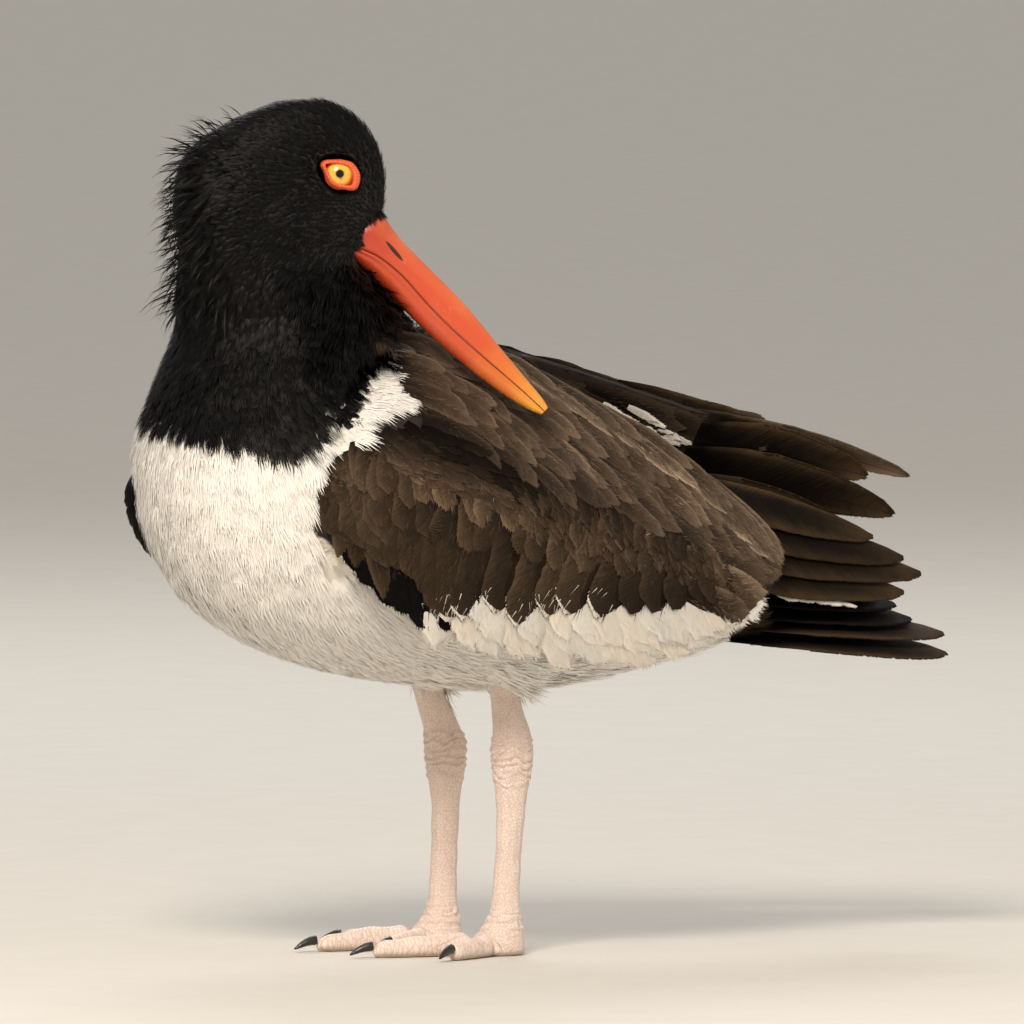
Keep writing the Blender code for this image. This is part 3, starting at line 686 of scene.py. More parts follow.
def hornMaterial():
    # Beak keratin, grown in layers along the bill: satin, orange-red, yellower and clearer at the tip
    material, tree, shader = newMaterial(
        "beakKeratin", 0.32, Specular_IOR_Level=0.55, Coat_Weight=0.25, Coat_Roughness=0.18,
        Subsurface_Weight=0.06, Subsurface_Radius=(1.0, 0.35, 0.12), Subsurface_Scale=0.002,
    )
    along, rise = readAttribute(tree, "along"), readAttribute(tree, "rise")
    coords = objectCoordinates(tree)
    cloudy = noiseNode(tree, coords, 90.0, 5.0)
    streaks = noiseNode(tree, readUv(tree, "bill"), 1.0, 6.0, 0.6, stretch=(14, 160, 1))
    place = plus(tree, along, scaled(tree, cloudy, 0.22, -0.11))
    stops = (
        (0.0, "#B2391C"), (0.12, "#C44722"), (0.35, "#CB4A23"), (0.62, "#CE5022"), (0.84, "#DC7C26"),
        (1.0, "#E59F34"),
    )
    base = rampNode(tree, place, stops)
    # painted light: lighter along the top in clouds, where the light falls on it, and painted shade: redder
    # along the bottom
    paintedLight = scaled(tree, rise, 0.13, -0.3, clamp=True)
    paintedLight = times(tree, paintedLight, scaled(tree, cloudy, 1.6, -0.2, clamp=True))
    base = mixColour(tree, paintedLight, base, "#DE8348")
    base = mixColour(tree, scaled(tree, rise, -0.08, -0.2, clamp=True), base, "#A5301A")
    worn = scaled(tree, streaks, 3.0, -1.5, clamp=True)
    base = mixColour(tree, times(tree, worn, 0.3), base, "#B8401E")
    # a few fine pale scratches, where the clouds are thickest
    scratched = minus(tree, noiseNode(tree, coords, 420.0, 3.0, 0.5, stretch=(1, 1, 0.25)), 0.5)
    scratched = scaled(tree, mathNode(tree, "ABSOLUTE", scratched), -90.0, 1.0, clamp=True)
    scratched = times(tree, scratched, scaled(tree, cloudy, 5.0, -2.9, clamp=True))
    base = mixColour(tree, times(tree, scratched, 0.55), base, "#F3B28C")
    # the nostril: a dark slit, as an ellipse about its line, painted shade inside the opening
    begins, ends, level, half = bill["nostril"]
    alongMm = times(tree, along, bill["length"])
    line = scaled(tree, minus(tree, alongMm, begins), -0.09, level)
    away = times(tree, minus(tree, rise, line), 1 / half)
    reach = scaled(tree, alongMm, 2 / (ends - begins), -(begins + ends) / (ends - begins))
    squares = plus(tree, times(tree, away, away), times(tree, reach, reach))
    base = mixColour(tree, scaled(tree, squares, -3.0, 3.0, clamp=True), base, "#3A0C07")
    # painted shade along the gape line between the two halves
    base = mixColour(tree, readAttribute(tree, "seam"), base, "#A23A1E")
    tree.links.new(base, shader.inputs["Base Color"])
    addBump(tree, shader, streaks, 0.00012, 0.8)
    return material


def nostrilDip(along, height):  # from 0 to 1, how deep the nostril's slit is at a place on the bill's side
    begins, ends, level, half = bill["nostril"]
    bow = 0.25 * math.sin((along - begins) / (ends - begins) * math.pi)
    line = level - (along - begins) * 0.09 + bow
    within = smoothStep(begins - 0.8, begins + 0.8, along) * smoothStep(ends + 0.8, ends - 0.8, along)
    return math.exp(-(((height - line) / half) ** 2)) * float(within)


def buildBill(material):
    root, axis, rise = billAxes()
    rows = smoothRows(bill["stations"], bill["segments"])
    sunk = -bill["hidden"] / bill["length"]
    rows = np.vstack([(sunk, *(rows[0][1:] * 0.85)), (-0.01, *rows[0][1:]), rows])
    half = bill["around"]
    for name, isUpper in (("bill_upper", True), ("bill_lower", False)):
        rings, values = [], []
        for share, top, gape, bottom, halfWidth in rows:
            edge = top if isUpper else bottom
            seam = gape + bill["seamGap"] * (1 if isUpper else -1)
            along = share * bill["length"]
            ring = []
            for step in range(half + 1):
                angle = math.pi * step / half
                side = math.cos(angle)
                reach = math.sin(angle) ** 0.8
                height = seam + (edge - seam) * reach
                # a soft shoulder above the cutting edge, and a slit for the nostril
                shoulder = 1 - 0.06 * math.exp(-(((reach - 0.28) / 0.12) ** 2))
                dip = nostrilDip(along, height) if isUpper and abs(side) > 0.5 else 0.0
                out = halfWidth * side * shoulder * (1 - 0.1 * dip)
                ring.append(root + axis * along + headSide * out + rise * height)
                # painted shade along the gape line, where the halves meet
                seamShade = math.exp(-(((height - seam) / 0.25) ** 2))
                values.append((share, height, seamShade * 0.32 * float(smoothStep(0.06, 0.2, share))))
            for side in (-0.6, 0.0, 0.6):
                ring.append(root + axis * along + headSide * (halfWidth * side) + rise * seam)
                values.append((share, seam, 1))
            rings.append(ring)
        mesh = tubeMesh(name, rings)
        values += [values[0], values[-1]]
        for column, attribute in enumerate(("along", "rise", "seam")):
            setAttribute(mesh, attribute, [row[column] for row in values])
        around = len(rings[0])
        corners = cornerPoints(mesh)
        uv = np.stack([(corners // around) / len(rings), (corners % around) / around], 1)
        mesh.uv_layers.new(name="bill").data.foreach_set("uv", uv.ravel())
        piece = newObject(name + "_horn", mesh, material)
        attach(piece, "root")
        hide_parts(name)


# Eyes

eye = {
    "place": (-43.2, 265.8),
    "out": 12.9,
    # outer and inner edge of the ring of bare skin: forward towards the nape and up, in mm from the middle
    "outer": (
        (6.1, 0.0), (5.1, 2.2), (3.4, 4.0), (0.9, 4.8), (-2.5, 5.0), (-5.8, 4.7), (-7.3, 3.4), (-6.3, 1.1),
        (-5.3, -1.2), (-3.8, -3.4), (-1.6, -4.6), (1.3, -5.1), (3.5, -5.4), (5.0, -4.8), (6.0, -2.8),
    ),
    "inner": (
        (3.6, 0.0), (2.9, 1.6), (2.0, 2.6), (0.5, 3.2), (-2.0, 3.6), (-4.4, 3.6), (-5.6, 3.0), (-4.7, 1.0),
        (-4.0, -0.6), (-3.2, -1.8), (-1.7, -3.0), (0.6, -3.6), (2.2, -3.7), (3.3, -3.4), (3.8, -1.8),
    ),
    # the ring's section: share of the way from its outer to its inner edge, and height above the face
    "section": ((0, -3.0), (-0.04, -0.9), (0.1, 0.1), (0.38, 0.7), (0.72, 0.85), (0.97, 0.4), (1.04, -1.0)),
    "ringSteps": 132,
    "creases": 33,
    "ball": 7.2,  # radius
    "inward": 0.7,  # the ball sits this far towards the nape in its opening
    "white": 5.2,  # radius of the part of the ball that is made
    "iris": 4.4,
    "rings": 25,  # of points on the ball, and the points in each
    "around": 64,
}


def eyeAxes(side):  # the eye's place, its directions towards the nape and up, and the way it looks
    look = (headSide * side + headAcross * 0.16 + up * 0.06).normalized()
    across = (headAcross - look * headAcross.dot(look)).normalized()
    height = (up - look * up.dot(look) - across * up.dot(across)).normalized()
    middle = inHead(eye["place"][0], bird["headNear"] + side * eye["out"], eye["place"][1])
    return middle, across, height, look


def lidOutline(corners):  # a smooth closed outline through the corners
    corners, count = np.array(corners), eye["ringSteps"]
    wrapped = np.vstack([corners[-3:], corners, corners[:4]])
    numbered = np.column_stack([np.arange(-3, len(corners) + 4), wrapped])
    rows = smoothRows(numbered, (len(corners) + 6) * 40 + 1)
    steps = np.arange(count) * len(corners) / count
    return np.stack([np.interp(steps, rows[:, 0], rows[:, k]) for k in (1, 2)], 1)


def eyeMaterial():
    # A wet living eye: clear bulging cornea over a yellow iris with fine spokes
    material, tree, shader = newMaterial(
        "wetCornea", 0.12, Specular_IOR_Level=0.3, Coat_Weight=0.5, Coat_Roughness=0.03
    )
    radius = readAttribute(tree, "fromPupil")
    spokes = noiseNode(tree, readUv(tree, "iris"), 1.0, 5.0, 0.7, stretch=(46, 1.5, 1))
    stops = (
        (0.0, "#050404"), (0.29, "#050404"), (0.315, "#A8781F"), (0.38, "#DDAE3E"), (0.70, "#E8BE54"),
        (0.90, "#DDA23A"), (0.97, "#C9702A"), (1.0, "#B8502A"),
    )
    colour = rampNode(tree, radius, stops)
    isIris = mathNode(tree, "GREATER_THAN", radius, 0.335)
    dark = times(tree, scaled(tree, spokes, 1.3, -0.35, clamp=True), isIris)
    colour = mixColour(tree, times(tree, dark, 0.3), colour, "#C07C18")
    colour = mixColour(tree, readAttribute(tree, "fleck"), colour, "#3B240C")
    tree.links.new(colour, shader.inputs["Base Color"])
    return material


def lidMaterial():
    # Bare skin of the eye ring: waxy, orange-red, with fine creases, darker in them as a painted shade
    material, tree, shader = newMaterial(
        "waxyEyeSkin", 0.42, Subsurface_Weight=0.15, Subsurface_Radius=(1.0, 0.35, 0.2),
        Subsurface_Scale=0.001
    )
    coords = objectCoordinates(tree)
    cloudy = noiseNode(tree, coords, 700.0, 4.0)
    creaseShade = readAttribute(tree, "creaseShade")
    colour = mixColour(tree, times(tree, cloudy, 0.8), "#E0522C", "#F27A4A")
    # painted shade in the creases
    colour = mixColour(tree, times(tree, creaseShade, 0.5), colour, "#A62F18")
    tree.links.new(colour, shader.inputs["Base Color"])
    addBump(tree, shader, noiseNode(tree, coords, 2600.0, 3.0), 0.0001, 0.5)
    return material


def eyeballMesh(side):
    middle, across, height, look = eyeAxes(side)
    centre = middle - look * (eye["ball"] - 0.75) - across * eye["inward"]
    rings, radii, flecks, uvs = [], [], [], []
    for step in range(1, eye["rings"] + 1):
        angle = math.asin(eye["white"] / eye["ball"]) * step / eye["rings"]
        flat = eye["ball"] * math.sin(angle)
        bulge = eye["ball"] * math.cos(angle) + 0.12 * math.exp(-((flat / 3.0) ** 4))
        ring = []
        for turn in range(eye["around"]):
            spin = 2 * math.pi * turn / eye["around"]
            x, y = flat * math.cos(spin), flat * math.sin(spin)
            ring.append(centre + across * x + height * y + look * bulge)
            offset = math.hypot(x + 0.2, y - 0.2)
            radii.append(min(offset / eye["iris"], 1))
            # a dark fleck in the iris under the pupil
            flecks.append(math.exp(-(((x - 0.1) / 0.4) ** 2) - ((y + 1.3) / 0.4) ** 2) * 0.8)
            uvs.append((turn / eye["around"], offset / eye["iris"]))
        rings.append(ring)
    mesh = tubeMesh("eyeball", rings)
    for values in (radii, flecks, uvs):
        values += [values[0], values[-1]]
    radii[-2] = 0.2
    setAttribute(mesh, "fromPupil", radii)
    setAttribute(mesh, "fleck", flecks)
    mesh.uv_layers.new(name="iris").data.foreach_set("uv", np.array(uvs)[cornerPoints(mesh)].ravel())
    return mesh


def eyeRingMesh(side):
    middle, across, height, look = eyeAxes(side)
    count = eye["ringSteps"]
    section = smoothRows(eye["section"], 17)
    rings, creaseShades = [], []
    for step, ((xo, yo), (xi, yi)) in enumerate(zip(lidOutline(eye["outer"]), lidOutline(eye["inner"]))):
        swirl = 1.5 * noise.noise(Vector((step * 0.21, side, 0)))
        crease = 0.5 + 0.5 * math.sin(step * 2 * math.pi * eye["creases"] / count + swirl)
        ring = []
        for share, depth in section:
            fade = float(smoothStep(-0.5, 0.8, depth))
            x, y = xo + (xi - xo) * share, yo + (yi - yo) * share
            depth -= 0.2 * crease * fade
            ring.append(middle + across * x + height * y + look * depth)
            # painted shade follows the creases, where the skin is pressed in
            creaseShades.append(crease * fade)
        rings.append(ring)
    size = len(section)
    last = (count - 1) * size
    closing = [(last + j, last + (j + 1) % size, (j + 1) % size, j) for j in range(size)]
    points = toMetres(np.array(rings).reshape(-1, 3))
    mesh = meshFromArrays("eyeRing", points, gridFaces(count, size) + closing)
    outwards(mesh)
    setAttribute(mesh, "creaseShade", creaseShades)
    return mesh


def buildEyes():
    irisLook, lidLook = eyeMaterial(), lidMaterial()
    for side, name in ((1, "right"), (-1, "left")):
        ball = newObject(f"eyeball_{name}", eyeballMesh(side), irisLook)
        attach(ball, "root")
        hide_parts(f"eye_{name}")
        ring = newObject(f"eye_ring_skin_{name}", eyeRingMesh(side), lidLook)
        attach(ring, "root")
        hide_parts(f"eye_ring_{name}")


# Feathers round the root of the bill: how far they reach along it, by the angle from the culmen down

faceFeathers = {
    "line": (
        (0, -0.2), (25, -1.6), (50, -3.0), (66, -4.2), (80, -0.6), (92, 0.9), (104, -0.4), (114, -1.4),
        (130, 0.6), (152, 3.8), (180, 5.6),
    ),
    "back": -6.5,  # where they begin, behind the root
    "off": 0.3,  # gap to the horn
    "length": 2.3,
    "coat": {"spacing": 0.75, "strands": 5, "breadth": (0.5, 0.3), "lift": 9, "wander": 16, "seed": 31},
}


def billSection(along, angle):  # a point on the bill's surface, angle 0 on the culmen and 180 under the chin
    share = max(along / bill["length"], 0.0)
    stations = np.array(bill["stations"])
    top, gape, bottom, half = (np.interp(share, stations[:, 0], stations[:, k]) for k in (1, 2, 3, 4))
    turn = math.radians(angle)
    level, reach = math.cos(turn), math.sin(turn)
    edge = top if level > 0 else bottom
    height = gape + (edge - gape) * abs(level) ** 0.9
    root, axis, rise = billAxes()
    out = faceFeathers["off"] + 0.12 * max(-along, 0)
    sideways = half * math.copysign(abs(reach) ** 0.8, reach) + out * reach
    return root + axis * along + (headSide * sideways + rise * (height + out * level))


def faceCollar():  # a sleeve round the bill's root, on which the face's tufts stand
    angles, reaches = zip(*faceFeathers["line"])
    rings, steps = [], 9
    for step in range(72):
        angle = step * 5
        reach = float(np.interp(angle if angle <= 180 else 360 - angle, angles, reaches))
        reach += 0.5 * noise.noise(Vector((step * 0.9, 0, 4)))
        places = np.linspace(faceFeathers["back"], reach, steps)
        rings.append([billSection(along, angle) for along in places])
    rings.append(rings[0])
    faces = gridFaces(len(rings), steps, False)
    mesh = meshFromArrays("faceCollar", toMetres(np.array(rings).reshape(-1, 3)), faces)
    merged = bmesh.new()
    merged.from_mesh(mesh)
    bmesh.ops.remove_doubles(merged, verts=merged.verts, dist=1e-6)
    centre = Vector(toMetres(billAxes()[0]))
    for face in merged.faces:
        if face.normal.dot(face.calc_center_median() - centre) < 0:
            face.normal_flip()
    merged.to_mesh(mesh)
    merged.free()
    return mesh


# Coat: tufts of fine barbs grown over the skin by Geometry Nodes

coats = {
    # spacing in mm, strands per tuft, breadth added to and times the length, lift and wander in degrees
    "head": {"spacing": 0.98, "strands": 5, "breadth": (0.45, 0.22), "lift": 8, "wander": 15, "seed": 3},
    "neck": {"spacing": 1.4, "strands": 7, "breadth": (0.8, 0.28), "lift": 11, "wander": 18, "seed": 5},
    "breast": {"spacing": 1.5, "strands": 8, "breadth": (1.4, 0.36), "lift": 6, "wander": 10, "seed": 8},
    "belly": {"spacing": 1.8, "strands": 8, "breadth": (1.6, 0.32), "lift": 8, "wander": 13, "seed": 12},
    "ruff": {"spacing": 1.6, "strands": 6, "breadth": (1.0, 0.25), "lift": 30, "wander": 20, "seed": 18},
    "nape": {"spacing": 2.8, "strands": 3, "breadth": (0.45, 0.08), "lift": 44, "wander": 24, "seed": 15},
}


def plumageMaterial():
    # Loose barbs of body feathers: soft, nearly matt, black with a faint gloss or warm white
    material, tree, shader = newMaterial("softBarbs", 0.48, Specular_IOR_Level=0.12)
    along, tint = readAttribute(tree, "along"), readAttribute(tree, "tint")
    strand, white, brown = (readAttribute(tree, name) for name in ("strand", "white", "brown"))
    mottle = noiseNode(tree, objectCoordinates(tree), 130.0, 3.0)
    # each tuft darker at its root than at its tip: painted shade where the tufts lie over one another
    black = mixColour(tree, along, "#040303", "#100E0D")
    brownish = mixColour(tree, along, "#1E1712", "#433528")
    pale = mixColour(tree, along, "#DFD9CF", "#F3F0EA")
    dark = mixColour(tree, mathNode(tree, "GREATER_THAN", brown, 0.5), black, brownish)
    colour = mixColour(tree, mathNode(tree, "GREATER_THAN", white, 0.5), dark, pale)
    uneven = scaled(tree, white, -0.8, 1.0)
    spread = plus(tree, scaled(tree, strand, 0.45, -0.25), scaled(tree, tint, 0.4, -0.2))
    spread = plus(tree, spread, scaled(tree, mottle, 0.5, -0.25))
    shade = scaled(tree, spread, uneven, 1.0)
    tree.links.new(shaded(tree, colour, shade), shader.inputs["Base Color"])
    return material


def skinMaterial():
    # Down and feather bases next to the skin, in the shade of the coat
    material, tree, shader = newMaterial("shadedDown", 0.9)
    white, brown = readAttribute(tree, "white"), readAttribute(tree, "brown")
    dark = mixColour(tree, brown, "#0E0C0B", "#241B15")
    tree.links.new(mixColour(tree, white, dark, "#DDD7CC"), shader.inputs["Base Color"])
    return material


def tuft(name, strands, seed):
    # A fan of strands, one unit long and wide, joined at the root and parted beyond it, lying along +Y
    rng = random.Random(seed)
    count = strands + 1
    points, along, strand, faces = [], [], [], []
    wobble = [rng.uniform(-0.3, 0.3) / strands for _ in range(count)]
    for share, width, height in ((0.0, 0.3, -0.03), (0.34, 0.66, 0.075)):
        for j in range(count):
            across = j / strands - 0.5
            forward = share + 0.05 * math.cos(across * math.pi)
            points.append((across * width + wobble[j] * share, forward, height - 0.12 * across**2))
            along.append(share * 0.8)
            strand.append((j * 37 % 11) / 11)
    for j in range(strands):
        faces.append((j, j + 1, count + j + 1, count + j))
        across = (j + 0.5) / strands - 0.5
        reach = rng.uniform(0.82, 1.12) - 0.55 * across**2
        lean = across * rng.uniform(0.8, 1.3) + rng.uniform(-0.6, 0.6) / strands
        half = 0.26 / strands
        start = len(points)
        middle = 0.34 + (reach - 0.34) * 0.55
        rise = rng.uniform(0.04, 0.10)
        bend = (across * 0.66 + lean) / 2
        points += [
            (bend - half, middle, rise), (bend + half, middle, rise), (lean, reach, rng.uniform(-0.03, 0.03))
        ]
        along += [0.75, 0.75, 1.0]
        strand += [(j * 37 % 11) / 11] * 3
        faces.append((count + j, count + j + 1, start + 1, start))
        faces.append((start, start + 1, start + 2))
    mesh = meshFromArrays(name, points, faces)
    setAttribute(mesh, "along", along)
    setAttribute(mesh, "strand", strand)
    setAttribute(mesh, "tuftPlace", points, "FLOAT_VECTOR")
    made = newObject(name, mesh)
    made.hide_render = True
    return made


def coatTree(templates, material):
    tree = bpy.data.node_groups.new("coat", "GeometryNodeTree")
    tree.interface.new_socket("Geometry", in_out="INPUT", socket_type="NodeSocketGeometry")
    for name in ("Spacing", "Breadth Added", "Breadth Share", "Lift", "Wander"):
        tree.interface.new_socket(name, in_out="INPUT", socket_type="NodeSocketFloat")
    tree.interface.new_socket("Seed", in_out="INPUT", socket_type="NodeSocketInt")
    tree.interface.new_socket("Geometry", in_out="OUTPUT", socket_type="NodeSocketGeometry")
    sizes = tree.nodes.new("NodeGroupInput").outputs

    def made(kind, links, output=0, **settings):
        return addNode(tree, kind, settings, links).outputs[output]

    def named(name, kind="FLOAT"):
        return made("GeometryNodeInputNamedAttribute", {"Name": name}, data_type=kind)

    def chance(low, high, seed):
        return made("FunctionNodeRandomValue", {2: low, 3: high, "Seed": seed}, 1, data_type="FLOAT")

    scattering = {
        "Mesh": sizes["Geometry"], "Distance Min": sizes["Spacing"], "Density Max": 4e6,
        "Density Factor": named("cover"), "Seed": sizes["Seed"],
    }
    places = addNode(
        tree, "GeometryNodeDistributePointsOnFaces", {"distribute_method": "POISSON"}, scattering
    ).outputs
    # each tuft lies along the flow, lifted off the skin and turned a little by chance
    lying = {0: places["Normal"], 1: named("flow", "FLOAT_VECTOR")}
    lying = made("FunctionNodeAxesToRotation", lying, primary_axis="Z", secondary_axis="Y")
    negative = times(tree, sizes["Wander"], -1.0)
    turn = {
        "X": times(tree, sizes["Lift"], chance(0.4, 1.6, 21)),
        "Y": times(tree, chance(negative, sizes["Wander"], 22), 0.7),
        "Z": chance(negative, sizes["Wander"], 23),
    }
    turn = made("FunctionNodeEulerToRotation", {0: made("ShaderNodeCombineXYZ", turn)})
    rotation = made("FunctionNodeRotateRotation", {0: lying, 1: turn}, rotation_space="LOCAL")
    length = times(tree, times(tree, named("length"), mm), chance(0.78, 1.22, 24))
    breadth = scaled(tree, length, sizes["Breadth Share"], sizes["Breadth Added"])
    choice = addNode(tree, "GeometryNodeJoinGeometry")
    for template in templates:
        shape = made("GeometryNodeObjectInfo", {"Object": template, "As Instance": True}, "Geometry")
        tree.links.new(shape, choice.inputs[0])
    pick = {4: 0, 5: len(templates) - 1, "Seed": 25}
    growing = {
        "Points": places["Points"], "Instance": choice.outputs[0], "Pick Instance": True,
        "Instance Index": made("FunctionNodeRandomValue", pick, 2, data_type="INT"), "Rotation": rotation,
        "Scale": made("ShaderNodeCombineXYZ", {"X": breadth, "Y": length, "Z": length}),
    }
    tufts = made("GeometryNodeInstanceOnPoints", growing)
    tint = {"Geometry": tufts, "Name": "tint", "Value": chance(0.0, 1.0, 26)}
    tufts = made("GeometryNodeStoreNamedAttribute", tint, data_type="FLOAT", domain="INSTANCE")
    tufts = made("GeometryNodeRealizeInstances", {"Geometry": tufts})
    # each tuft keeps a small patch of the baked textures, about the place of its root
    patch = {0: named("tuftPlace", "FLOAT_VECTOR"), "Scale": 0.003}
    patch = made("ShaderNodeVectorMath", patch, operation="SCALE")
    patch = made("ShaderNodeVectorMath", {0: named("rootUv", "FLOAT_VECTOR"), 1: patch}, operation="ADD")
    mapping = {"Geometry": tufts, "Name": "OFBake", "Value": patch}
    tufts = made("GeometryNodeStoreNamedAttribute", mapping, data_type="FLOAT2", domain="CORNER")
    tufts = made("GeometryNodeSetMaterial", {"Geometry": tufts, "Material": material})
    tree.links.new(tufts, addNode(tree, "NodeGroupOutput").inputs[0])
    return tree


def growCoat(name, skin, cover, values, material, length=None):
    # skin is the mesh that the tufts stand on, and cover the share of its points that each place keeps
    templates = [tuft(f"tuft{name}{i}", values["strands"], values["seed"] + i) for i in range(4)]
    host = newObject(name, skin.copy())
    setAttribute(host.data, "cover", cover)
    if length is not None:
        host.data.attributes["length"].data.foreach_set("value", length)
    tree = coatTree(templates, material)
    modifier = host.modifiers.new("coat", "NODES")
    modifier.node_group = tree
    given = {
        "Spacing": values["spacing"] * mm,
        "Breadth Added": values["breadth"][0] * mm,
        "Breadth Share": values["breadth"][1],
        "Lift": math.radians(values["lift"]),
        "Wander": math.radians(values["wander"]),
        "Seed": values["seed"],
    }
    for socket in tree.interface.items_tree:
        if socket.in_out == "INPUT" and socket.name in given:
            modifier[socket.identifier] = given[socket.name]
    evaluated(host)
    for template in templates:
        bpy.data.objects.remove(template)
    for extra in ("flow", "rootUv", "tuftPlace", "length", "nape", "cover"):
        if extra in host.data.attributes:
            host.data.attributes.remove(host.data.attributes[extra])
    host.data.shade_smooth()
    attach(host, "root")
    print(name, triangleCount(host.data), "triangles")


def storeRootUv(mesh):  # keeps the skin's places in the baked textures for the tufts that grow from it
    uv = np.empty(len(mesh.loops) * 2)
    mesh.uv_layers["OFBake"].data.foreach_get("uv", uv)
    vector = np.zeros((len(mesh.loops), 3))
    vector[:, :2] = uv.reshape(-1, 2)
    setAttribute(mesh, "rootUv", vector, "FLOAT_VECTOR", "CORNER")


def buildCoat(skin, lie, material):
    host = skin.data.copy()
    storeRootUv(host)
    points, cover, white, near = lie["points"], lie["cover"], lie["white"], lie["near"]
    x, y, z = points.T
    head = smoothStep(226, 236, z)
    neck = (1 - head) * ((white < 0.5) & (z > 150)) * (lie["turn"] < 140)
    rest = (1 - np.maximum(neck, head)) * ((white < 0.5) | (x >= -30))
    # the share of each part's places that grow a tuft, and which of them are on the left
    for part, share, left, slotName in (
        ("head", cover * head, ~near, "black_feathers"),
        ("neck", cover * neck, y < -12, "black_feathers"),
        ("breast", cover * (white > 0.5) * (x < -30), y < 0, "white_feathers"),
        ("belly", cover * rest, y < 0, "white_feathers"),
    ):
        growCoat(f"coat_{part}_left", host, share * left, coats[part], material)
        growCoat(f"coat_{part}_right", host, share * ~left, coats[part], material)
    longer = lie["length"] * 1.7
    growCoat("coat_nape", host, lie["nape"] * cover, coats["nape"], material, longer)
    # a ruff that the turned neck pushes up against the bill
    across = x * headAcross[0] + y * headAcross[1]
    facing = normalArray(host) @ np.array(headAcross)
    between = (x > -50) & (np.abs(y) < 18) & (z > 200)
    ruff = ((facing > 0.1) | between) & (white < 0.5)
    ruff &= (np.abs(z - 219) < 17) & (across > -62) & (across < -4)
    standing = np.tile(np.array(headAcross * 0.6 + up * 0.6), (len(x), 1))
    setAttribute(host, "flow", standing, "FLOAT_VECTOR")
    longer = np.full(len(x), 11.0)
    growCoat("coat_ruff", host, cover * ruff, coats["ruff"], material, longer)
    bpy.data.meshes.remove(host)


def buildFace(material, underneath):
    collar = newObject("face_feathers", faceCollar(), underneath)
    mesh = collar.data
    unwrapped(collar)
    count = len(mesh.vertices)
    setAttribute(mesh, "flow", np.tile(np.array(billAxes()[1]), (count, 1)), "FLOAT_VECTOR")
    setAttribute(mesh, "length", np.full(count, faceFeathers["length"]))
    storeRootUv(mesh)
    growCoat("coat_face", mesh, np.ones(count), faceFeathers["coat"], material)
    for extra in ("flow", "rootUv", "length"):
        mesh.attributes.remove(mesh.attributes[extra])
    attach(collar, "root")


# Vanes: wing and tail feathers laid one by one over the folded wings

